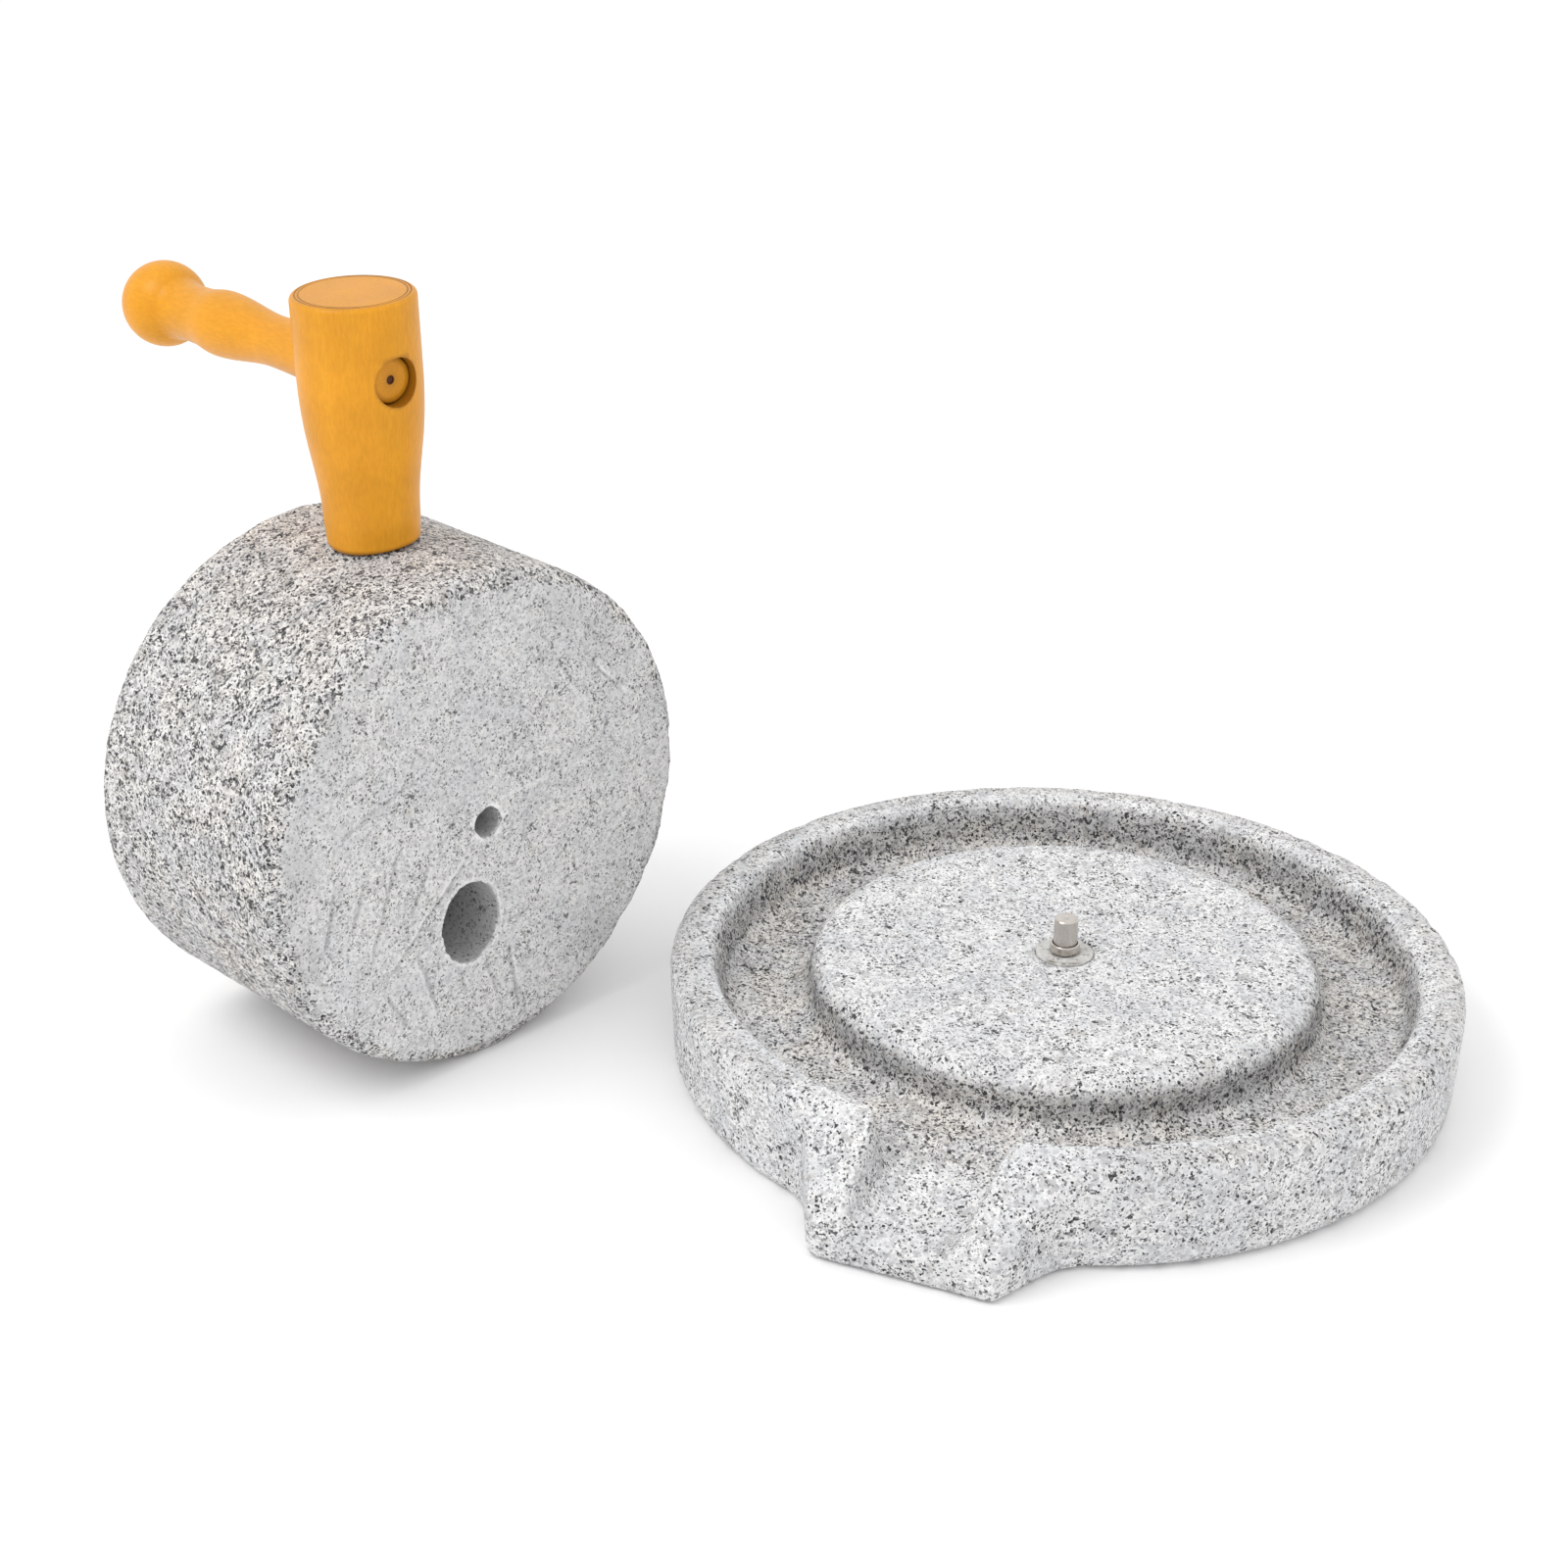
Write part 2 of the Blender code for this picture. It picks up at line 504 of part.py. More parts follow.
def grip_profile():
    """The grip's outline from the end of its ball back to its neck, as (r, distance) points."""
    ball = GRIP_REACH
    join_back = math.sqrt(GRIP_BALL_RADIUS ** 2 - GRIP_JOIN_RADIUS ** 2)
    join_angle = math.degrees(math.atan2(-join_back, GRIP_JOIN_RADIUS))
    outline = arc(0.0, ball, GRIP_BALL_RADIUS, 90, join_angle, 9)
    outline[0] = (0.0, ball + GRIP_BALL_RADIUS)
    join = (ball - join_back, GRIP_JOIN_RADIUS)
    waist = (ball - GRIP_WAIST_BACK, GRIP_WAIST_RADIUS)
    bulge = (ball - GRIP_BULGE_BACK, GRIP_BULGE_RADIUS)
    neck = (ball - GRIP_NECK_BACK, GRIP_NECK_RADIUS)
    shoulder = (GRIP_SHOULDER_DEPTH, GRIP_SHOULDER_RADIUS)
    stem = eased(join, waist, join_back / GRIP_JOIN_RADIUS / 2, 0, 4)
    stem += eased(waist, bulge, 0, 0, 4)
    stem += eased(bulge, neck, 0, 0, 5)
    stem += eased(neck, shoulder, 0, -(GRIP_SHOULDER_RADIUS - GRIP_NECK_RADIUS)
                  / (neck[0] - shoulder[0]), 3)
    outline += [(radius, place) for place, radius in stem]
    outline.append((0.0, GRIP_SHOULDER_DEPTH))
    return outline


def make_grip(turn, wood):
    grip = turned("handle_grip", grip_profile(), GRIP_SEGMENTS, wood)
    grip.parent = turn
    grip.location = (-ARM_FROM_FACE, 0, GRIND_RADIUS + GRIP_HEIGHT)
    grip.rotation_euler = (0, -math.pi / 2, 0)

    # The neck is scribed to the arm's round side, then the tenon is joined on
    envelope = turned("arm_envelope_cutter", arm_profile(extra=GAP), ARM_SEGMENTS)
    as_cutter(envelope, grip)
    envelope.location = (-GRIP_HEIGHT, 0, 0)
    envelope.rotation_euler = (0, math.pi / 2, 0)
    boolean(grip, envelope, "DIFFERENCE")

    end = -(ARM_TOP_RADIUS - GRIP_TENON_SET_BACK)
    root = GRIP_REACH - GRIP_NECK_BACK
    tenon_outline = [(0, root), (GRIP_TENON_RADIUS, root),
                     (GRIP_TENON_RADIUS, end + GRIP_TENON_CHAMFER),
                     (GRIP_TENON_RADIUS - GRIP_TENON_CHAMFER, end), (0, end)]
    tenon = as_cutter(turned("grip_tenon", tenon_outline, GRIP_SEGMENTS), grip)
    boolean(grip, tenon, "UNION")
    return grip


def main():
    clear_scene()
    granite = material("granite", (0.56, 0.55, 0.54), 0.85)
    steel = material("satin_steel", (0.60, 0.58, 0.56), 0.35, 1.0)
    grout = material("pale_grout", (0.66, 0.65, 0.62), 0.8)
    wood = material("lacquered_wood", (0.78, 0.38, 0.06), 0.35)

    make_bedstone(granite)
    make_spindle(steel, grout)

    stand = bpy.data.objects.new("runner_stand", None)
    bpy.context.collection.objects.link(stand)
    stand.location = (RUNNER_FACE_X, RUNNER_AXIS_Y, RUNNER_AXIS_HEIGHT)
    turn = bpy.data.objects.new("runner_turn", None)
    bpy.context.collection.objects.link(turn)
    turn.parent = stand
    turn.rotation_euler = (RUNNER_TURN, 0, 0)
    make_runner(stand, turn, granite)
    make_arm(turn, wood)
    make_grip(turn, wood)


main()
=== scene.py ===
import math

import bmesh
import bpy
import numpy as np
from mathutils import Matrix, Vector


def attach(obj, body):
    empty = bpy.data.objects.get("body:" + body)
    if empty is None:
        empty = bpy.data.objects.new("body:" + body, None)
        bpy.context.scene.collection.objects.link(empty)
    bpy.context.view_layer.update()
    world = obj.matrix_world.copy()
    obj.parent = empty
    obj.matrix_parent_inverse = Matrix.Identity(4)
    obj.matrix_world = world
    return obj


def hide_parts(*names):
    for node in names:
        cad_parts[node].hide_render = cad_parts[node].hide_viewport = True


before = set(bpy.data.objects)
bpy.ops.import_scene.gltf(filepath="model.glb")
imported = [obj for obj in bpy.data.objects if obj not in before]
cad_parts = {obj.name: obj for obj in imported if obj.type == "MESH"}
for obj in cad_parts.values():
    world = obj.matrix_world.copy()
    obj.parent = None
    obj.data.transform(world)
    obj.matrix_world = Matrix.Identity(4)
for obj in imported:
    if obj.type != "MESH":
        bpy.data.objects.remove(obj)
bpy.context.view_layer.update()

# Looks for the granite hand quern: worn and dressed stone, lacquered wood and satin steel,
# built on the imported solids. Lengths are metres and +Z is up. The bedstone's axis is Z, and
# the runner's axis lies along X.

SEED = 7

# Sizes and places that the solids have too
BED_SEGMENTS = 72
GRIND_RADIUS = 0.090
FACE_HEIGHT = 0.0388
SPOUT_DIRECTION = math.radians(-69.2)
OUTLET_REACH = 0.157
RUNNER_FACE_X = -0.1388
RUNNER_BACK_X = -0.2406
RUNNER_AXIS_Y = -0.1442
RUNNER_AXIS_Z = 0.08964
RUNNER_TURN = math.radians(2.0)
FACE_EDGE_ROUND = 0.0055
BACK_EDGE_ROUND = 0.0075
BORE_RADIUS = 0.0055
BORE_EXTRA_DEPTH = 0.006
FEED_HALF_WIDTH = 0.0125
FEED_HALF_HEIGHT = 0.0152
FEED_OFFSET = 0.0364
FEED_ANGLE = math.radians(255.5)
FUNNEL_HALF_WIDTH = 0.023
FUNNEL_DEPTH = 0.014
PIN_RADIUS = 0.0042
PIN_RISE = 0.0132
PIN_CHAMFER = 0.0006
PIN_SET_DEPTH = 0.022
COLLAR_RADIUS = 0.0052
COLLAR_HEIGHT = 0.0032
COLLAR_ROUND = 0.0004
GROUT_DEPTH = 0.005
ARM_X = -0.1897
ARM_HEIGHT = 0.0858
ARM_FOOT_RADIUS = 0.0158
ARM_WAIST_RADIUS = 0.0163
ARM_WAIST_HEIGHT = 0.010
ARM_SWELL_RADIUS = 0.0191
ARM_SWELL_HEIGHT = 0.035
ARM_SWELL_SLOPE = 0.15
ARM_FULL_HEIGHT = 0.060
ARM_TOP_RADIUS = 0.0208
ARM_TOP_ROUND = 0.0018
GRIP_HEIGHT = 0.0596
GRIP_TENON_RADIUS = 0.0080
GRIP_TENON_SET_BACK = 0.0045
GRIP_TENON_CHAMFER = 0.0007
GRIP_REACH = 0.1114
GRIP_BALL_RADIUS = 0.0151
GRIP_JOIN_RADIUS = 0.0112
GRIP_WAIST_RADIUS = 0.0100
GRIP_WAIST_BACK = 0.0234
GRIP_BULGE_RADIUS = 0.0115
GRIP_BULGE_BACK = 0.0364
GRIP_NECK_RADIUS = 0.0088
GRIP_NECK_BACK = 0.0665
GRIP_SHOULDER_RADIUS = 0.0102
GRIP_SHOULDER_DEPTH = 0.0145
GAP = 0.0003

# Sizes of the finer shapes, which only this script has
BED_VOXEL = 0.0015
RUNNER_VOXEL = 0.0015
ARM_FOOT_ROUND = 0.0024
TOP_LINES = (0.01885, 0.01770)  # radii of the turned lines on the arm's top
COLLAR_EDGE = 0.0002
GROUT_OUTER = 0.0101  # 0.4 mm past the solid's ring, to meet the carved stone
GROUT_ROUND = 0.0004
TUNNEL_REACH = 0.035  # half the length of the cutter for the arm's tunnel
TENON_START = 0.045  # the tenon's hidden end, inside the grip

# The feed hole's centre, from the runner's axis
FEED_Y = FEED_OFFSET * math.cos(FEED_ANGLE)
FEED_Z = FEED_OFFSET * math.sin(FEED_ANGLE)

TUNNEL_RADIUS = GRIP_TENON_RADIUS + GAP

# The camera, fitted to the photo: its place, and its right, up and back directions
CAMERA_PLACE = (0.513, -0.67206, 0.49891)
CAMERA_RIGHT = (0.714489, 0.699562, 0.010904)
CAMERA_UP = (-0.305929, 0.298364, 0.904094)
CAMERA_BACK = (0.629216, -0.649301, 0.427194)
CAMERA_LENS = 62.438


def lattice(ix, iy, iz, salt):
    """A repeatable random number from 0 to 1 for each whole-number place."""
    h = (ix.astype(np.int64) * 374761393 + iy.astype(np.int64) * 668265263
         + iz.astype(np.int64) * 2147483647 + salt * 1274126177) & 0xffffffff
    h = ((h ^ (h >> 13)) * 1274126177) & 0xffffffff
    h = ((h ^ (h >> 16)) * 2246822519) & 0xffffffff
    return ((h ^ (h >> 15)) & 0xffffff) / float(0xffffff)


def value_noise(points, size, salt=0):
    """Smooth noise from -1 to 1 with features of about the size given."""
    p = points / size
    i = np.floor(p).astype(np.int64)
    t = p - i
    t = t * t * t * (t * (t * 6 - 15) + 10)
    total = np.zeros(len(points))
    for dx in (0, 1):
        for dy in (0, 1):
            for dz in (0, 1):
                weight = ((t[:, 0] if dx else 1 - t[:, 0]) * (t[:, 1] if dy else 1 - t[:, 1])
                          * (t[:, 2] if dz else 1 - t[:, 2]))
                total += weight * lattice(i[:, 0] + dx, i[:, 1] + dy, i[:, 2] + dz, salt + SEED)
    return total * 2 - 1


def rough_noise(points, size, octaves, salt=0):
    """Noise of several sizes, each half the one before and weaker."""
    total = np.zeros(len(points))
    weight = 1.0
    norm = 0.0
    for k in range(octaves):
        total += weight * value_noise(points, size / 2 ** k, salt + 11 * k)
        norm += weight
        weight *= 0.55
    return total / norm


def cell_pits(points, size, salt=0):
    """The distance of each point to its nearest scattered seed, in cell sizes, and the seed's number."""
    p = points / size
    base = np.floor(p).astype(np.int64)
    best = np.full(len(points), 9.0)
    pick = np.zeros(len(points))
    for dx in (-1, 0, 1):
        for dy in (-1, 0, 1):
            for dz in (-1, 0, 1):
                c = base + (dx, dy, dz)
                jitter = np.stack([lattice(c[:, 0], c[:, 1], c[:, 2], salt + k + SEED)
                                   for k in (1, 2, 3)], 1)
                d = np.linalg.norm(c + jitter - p, axis=1)
                mark = lattice(c[:, 0], c[:, 1], c[:, 2], salt + 4 + SEED)
                near = d < best
                best[near] = d[near]
                pick[near] = mark[near]
    return best, pick


def smooth(low, high, x):
    """Eases from 0 at low to 1 at high, and falls when high is the smaller of the two."""
    t = np.clip((x - low) / (high - low), 0.0, 1.0)
    return t * t * (3 - 2 * t)


def bump_at(x, centre, width):
    """A smooth hump that is 1 at the centre."""
    return np.exp(-((x - centre) / width) ** 2)


def read_mesh(mesh):
    """The mesh's points and their normals."""
    co = np.empty(len(mesh.vertices) * 3)
    mesh.vertices.foreach_get("co", co)
    no = np.empty(len(mesh.vertices) * 3)
    mesh.vertices.foreach_get("normal", no)
    return co.reshape(-1, 3), no.reshape(-1, 3)


def write_points(mesh, co):
    """Moves the mesh's points to the places given."""
    mesh.vertices.foreach_set("co", co.astype(np.float32).ravel())
    mesh.update()


def paint(mesh, name, values):
    """Keeps a number from 0 to 1 at each point for the material to read."""
    layer = mesh.attributes.new(name, "FLOAT", "POINT")
    layer.data.foreach_set("value", np.clip(values, 0, 1).astype(np.float32))


def even_mesh(source, name, voxel, smoothing):
    """A closed even mesh over the source, fine enough to carve."""
    work = bpy.data.objects.new(name + "_work", source.data.copy())
    bpy.context.scene.collection.objects.link(work)
    grid = work.modifiers.new("remesh", "REMESH")
    grid.mode = "VOXEL"
    grid.voxel_size = voxel
    soft = work.modifiers.new("smooth", "SMOOTH")
    soft.factor = 0.5
    soft.iterations = smoothing
    bpy.context.view_layer.update()
    depsgraph = bpy.context.evaluated_depsgraph_get()
    mesh = bpy.data.meshes.new_from_object(work.evaluated_get(depsgraph))
    bpy.data.objects.remove(work, do_unlink=True)
    mesh.name = name
    mesh.materials.clear()
    piece = bpy.data.objects.new(name, mesh)
    bpy.context.scene.collection.objects.link(piece)
    return piece


def rounder(u, v, segments, phase):
    """Factor that turns a point of a many-sided turning into one of the true circle."""
    step = 2 * math.pi / segments
    offset = np.mod(np.arctan2(v, u) - phase, step) - step / 2
    return np.cos(offset) / math.cos(step / 2)


def along_spout(co):
    """Distances of the points along the spout's direction and across it."""
    c, s = math.cos(SPOUT_DIRECTION), math.sin(SPOUT_DIRECTION)
    return co[:, 0] * c + co[:, 1] * s, -co[:, 0] * s + co[:, 1] * c


def make_bedstone():
    """The bedstone: tooled hollow, chipped edges and smoother raised face."""
    piece = even_mesh(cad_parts["bedstone"], "granite_bedstone", BED_VOXEL, 3)
    mesh = piece.data
    co, no = read_mesh(mesh)
    co[:, :2] *= rounder(co[:, 0], co[:, 1], BED_SEGMENTS, SPOUT_DIRECTION)[:, None]
    r = np.hypot(co[:, 0], co[:, 1])
    z = co[:, 2]
    along, across = along_spout(co)
    up = no[:, 2]

    drift = 0.0018 * rough_noise(co, 0.007, 2, 10)
    inside = smooth(0.1315, 0.1275, r)
    spout = smooth(0.116, 0.124, along) * smooth(0.062, 0.050, np.abs(across))
    channel = smooth(0.112, 0.120, along) * smooth(0.0235, 0.0205, np.abs(across))
    below_top = 1 - smooth(0.0300, 0.0388, z + 0.5 * drift)
    hollow = inside * below_top * (1 - channel)
    face = smooth(0.0875, 0.0815, r + drift) * smooth(0.0362, 0.0384, z)
    underside = smooth(0.0022, 0.0012, z) * smooth(-0.5, -0.9, up)

    broad = rough_noise(co, 0.016, 2, 20)
    mid = rough_noise(co, 0.0055, 2, 40)
    fine = rough_noise(co, 0.0026, 1, 60)
    pit, mark = cell_pits(co, 0.0042, 80)
    pits = smooth(0.55, 0.15, pit) * (mark > 0.62)
    chip, chip_mark = cell_pits(co, 0.0085, 100)
    chips = smooth(0.75, 0.25, chip) * smooth(0.55, 0.8, chip_mark)

    depth = 0.00016 * (1 + broad) + 0.00007 * (1 + mid)
    depth += hollow * (0.00030 * (1 + mid) + 0.00018 * (1 + fine) + 0.00045 * pits)
    depth += (1 - hollow) * (1 - face) * (0.00009 * (1 + fine) + 0.00016 * pits)
    depth += face * (0.00005 * (1 + fine) + 0.00010 * pits)

    inner_edge = bump_at(r, 0.1232, 0.0026) * smooth(0.0345, 0.0375, z) * (1 - channel)
    outer_edge = bump_at(r, 0.1380, 0.0026) * smooth(0.0335, 0.0365, z)
    grind_edge = bump_at(r, 0.0862, 0.0035) * smooth(0.0325, 0.0365, z)
    lip_edge = bump_at(along, OUTLET_REACH, 0.0022) * smooth(0.008, 0.011, z)
    depth += chips * (0.0009 * inner_edge + 0.0008 * outer_edge + 0.0006 * grind_edge
                      + 0.0006 * lip_edge)
    socket = smooth(0.0135, 0.0105, r) * smooth(0.030, 0.037, z)
    depth *= (1 - underside) * (1 - 0.7 * socket)
    co -= no * depth[:, None]
    co[:, 2] = np.maximum(co[:, 2], 0.0)
    write_points(mesh, co)

    steep = smooth(0.85, 0.35, up)
    rim_top = smooth(0.1270, 0.1300, r) * (1 - spout) * smooth(0.3, 0.9, up)
    outer = smooth(0.1330, 0.1370, r) * (1 - rim_top)
    # The hollow is painted darker, its steep walls most, and the channel's walls too.
    tone = 0.985 - hollow * (0.06 + 0.22 * steep) - 0.10 * rim_top - 0.035 * outer
    tone += 0.015 * spout * (1 - steep) - 0.07 * channel * steep
    # The hollow's floor is painted lighter toward the spout: painted light that lifts the shade there.
    tone += 0.20 * hollow * (1 - steep) * smooth(0.3, 0.9, along / np.maximum(r, 1e-6))
    paint(mesh, "tone", tone)
    paint(mesh, "coarse", 0.20 + hollow * (0.50 + 0.26 * steep) + 0.05 * rim_top)
    paint(mesh, "ground", np.zeros(len(co)))
    paint(mesh, "pale", np.zeros(len(co)))
    settled = smooth(0.030, 0.024, z) * smooth(-0.2, 0.5, rough_noise(co, 0.035, 2, 140))
    stain = hollow * (0.55 + 0.45 * settled) + 0.35 * rim_top
    stain += 0.3 * smooth(0.0, 0.0005, depth - 0.0006) * (1 - face)
    paint(mesh, "stain", stain)
    finish_piece(piece, "bedstone", granite("bedstone_granite"), 70)


# Dressing strokes on the runner's face: y and z of both ends from its axis in millimetres,
# depth in millimetres and how pale the crushed stone beside it is
STROKES = [
    (-64, -1, -71, -25, 0.26, 0.30), (-52, -3, -60, -23, 0.26, 0.30), (-39, 1, -52, -35, 0.30, 0.45),
    (-25, -6, -35, -25, 0.26, 0.40), (-9, -10, -45, -43, 0.22, 0.80), (-26, -36, -38, -44, 0.12, 0.6),
    (-55, 17, -29, 26, 0.16, 0.25), (-62, 14, -38, 21, 0.12, 0.20), (-70, 28, -44, 36, 0.12, 0.30),
    (-66, 37, -40, 49, 0.10, 0.25), (-76, 22, -52, 31, 0.10, 0.35), (-47, -49, -38, -65, 0.22, 0.45),
    (-33, -37, -25, -65, 0.28, 0.60), (-14, -53, -12, -64, 0.20, 0.30), (-3, -51, 1, -69, 0.24, 0.45),
    (7, -49, 11, -77, 0.28, 0.55), (13, -70, 14, -83, 0.16, 0.30), (5, -41, 19, -39, 0.20, 0.10),
    (41, 62, 47, 47, 0.10, 0.75), (47, 47, 65, 27, 0.12, 0.90), (25, 65, 43, 35, 0.12, 0.10),
    (55, 26, 53, 13, 0.14, 0.15), (67, 19, 66, -14, 0.08, 0.60), (5, 7, 49, 9, 0.06, 0.65),
    (42, 13, 62, 11, 0.08, 0.50), (55, -25, 69, -16, 0.12, 0.55), (-75, -3, -27, -3, 0.06, 0.55),
    (50, -33, 46, -45, 0.10, 0.45), (30, -3, 40, -10, 0.06, 0.20), (-30, 34, -12, 20, 0.05, 0.45),
    (-48, 43, -36, 33, 0.06, 0.50), (-58, 55, -48, 44, 0.05, 0.40), (0, 20, 2, 31, 0.08, 0.15),
    (8, 24, 9, 33, 0.08, 0.12), (27, 12, 34, 22, 0.06, 0.30), (-46, -46, -60, -57, 0.06, 0.45),
]


def stroke_marks(y, z):
    """How deep the strokes cut at each point of the face, and how pale the stone is beside them."""
    depth = np.zeros(len(y))
    pale = np.zeros(len(y))
    wander = value_noise(np.stack([y, z, np.zeros(len(y))], 1), 0.007, 500) * 0.0005
    for number, (y0, z0, y1, z1, deep, white) in enumerate(STROKES):
        start = np.array((y0, z0)) / 1000
        run = np.array((y1, z1)) / 1000 - start
        length = math.hypot(*run)
        run /= length
        s = (y - start[0]) * run[0] + (z - start[1]) * run[1]
        d = -(y - start[0]) * run[1] + (z - start[1]) * run[0] + wander
        ends = smooth(-0.0005, 0.004, s) * smooth(length + 0.0005, length - 0.005, s)
        width = 0.00078 if deep > 0.11 else 0.00050
        depth = np.maximum(depth, ends * np.exp(-(d / width) ** 2) * deep * 1.3 / 1000)
        side = 1 if number % 2 else -1
        broken = smooth(-0.7, 0.3, value_noise(np.stack([s, d, 0 * s + number], 1), 0.0030, 520))
        beside = 0.0011 if deep > 0.11 else 0.0
        pale = np.maximum(pale, ends * broken * white * np.exp(-((d - side * beside) / 0.0007) ** 2))
    return depth, pale


def refine_strokes(mesh):
    """Smaller faces along the strokes and the holes' mouths, so that they can be carved."""
    bm = bmesh.new()
    bm.from_mesh(mesh)
    edges = [e for e in bm.edges if min(v.co.x for v in e.verts) > RUNNER_FACE_X - 0.0010]
    mid = np.array([((e.verts[0].co.y + e.verts[1].co.y) / 2 - RUNNER_AXIS_Y,
                     (e.verts[0].co.z + e.verts[1].co.z) / 2 - RUNNER_AXIS_Z) for e in edges])
    near = np.full(len(mid), 9.0)
    for y0, z0, y1, z1, _, _ in STROKES:
        start = np.array((y0, z0)) / 1000
        run = np.array((y1, z1)) / 1000 - start
        t = np.clip(((mid - start) @ run) / (run @ run), 0, 1)
        near = np.minimum(near, np.linalg.norm(mid - start - t[:, None] * run, axis=1))
    for reach in (np.hypot(mid[:, 0], mid[:, 1]) - BORE_RADIUS,
                  feed_distance(mid[:, 0], mid[:, 1]) - FEED_HALF_WIDTH):
        near = np.minimum(near, np.abs(reach))
    chosen = [e for e, far in zip(edges, near) if far < 0.0019]
    bmesh.ops.subdivide_edges(bm, edges=chosen, cuts=2, use_grid_fill=True)
    bm.to_mesh(mesh)
    bm.free()
    mesh.update()


def runner_blank():
    """The runner as a closed even mesh, still without its holes."""
    thick = RUNNER_FACE_X - RUNNER_BACK_X
    outline = [(0.0, 0.0)]
    outline += arc(GRIND_RADIUS - FACE_EDGE_ROUND, -FACE_EDGE_ROUND, FACE_EDGE_ROUND, 90, 0, 8)
    outline += arc(GRIND_RADIUS - BACK_EDGE_ROUND, -thick + BACK_EDGE_ROUND, BACK_EDGE_ROUND,
                   0, -90, 8)
    outline.append((0.0, -thick))
    blank = lathe("runner_blank", outline, 256)
    fix_place(blank, Matrix.Translation((RUNNER_FACE_X, RUNNER_AXIS_Y, RUNNER_AXIS_Z))
              @ Matrix.Rotation(math.pi / 2, 4, "Y"))
    piece = even_mesh(blank, "granite_runner", RUNNER_VOXEL, 2)
    bpy.data.objects.remove(blank, do_unlink=True)
    return piece


def feed_distance(y, z):
    """Distance from the feed hole's centre line, as if the oval hole were round."""
    return np.hypot(y - FEED_Y, (z - FEED_Z) * FEED_HALF_WIDTH / FEED_HALF_HEIGHT)


def hole_cutter(name, radius, depth, segments, rough, salt, funnel=None):
    """The solid that is taken out of the stone for a hole, with a mouth broken a little."""
    places = [-0.006, -0.0008, 0.0002, 0.0006, 0.0010, 0.0014, 0.0020, 0.0028, 0.0040, 0.0060]
    step = 0.0022
    while places[-1] + step < (depth - 0.0005 if funnel is None else depth - funnel[1] - step):
        places.append(places[-1] + step)
    outline = [(0.0, places[0])] + [(radius, place) for place in places]
    if funnel is None:
        outline += [(radius, depth - 0.0003), (radius * 0.5, depth), (0.0, depth)]
    else:
        wide, long = funnel
        slope = (wide - radius) / long
        outline += [(radius, depth - long)]
        outline += [(radius + slope * long * k / 8, depth - long + long * k / 8) for k in range(1, 9)]
        outline += [(wide + slope * 0.006, depth + 0.006), (0.0, depth + 0.006)]
    cutter = lathe(name, outline, segments)
    co, _ = read_mesh(cutter.data)
    r = np.hypot(co[:, 0], co[:, 1])
    at_wall = r > radius * 0.9
    mouth = smooth(0.0026, 0.0002, co[:, 2]) * at_wall
    broken = smooth(0.0, 0.75, value_noise(co, 0.0030, salt)) * 0.9
    broken += smooth(0.1, 0.8, value_noise(co, 0.0016, salt + 5)) * 0.5
    grow = 1 + (rough * mouth * broken
                + at_wall * 0.00012 * rough_noise(co, 0.004, 2, salt + 9)) / np.maximum(r, 1e-5)
    co[:, :2] *= grow[:, None]
    write_points(cutter.data, co)
    return cutter


def from_runner_axis(co):
    """Places of the points across the runner, and their distances from its axis."""
    y = co[:, 1] - RUNNER_AXIS_Y
    z = co[:, 2] - RUNNER_AXIS_Z
    return y, z, np.hypot(y, z)


def ragged_border(co, r, mid):
    """Distance from the axis, made uneven where the ground face meets the rough rim."""
    return r + 0.0016 * mid + 0.0016 * value_noise(co, 0.011, 330)


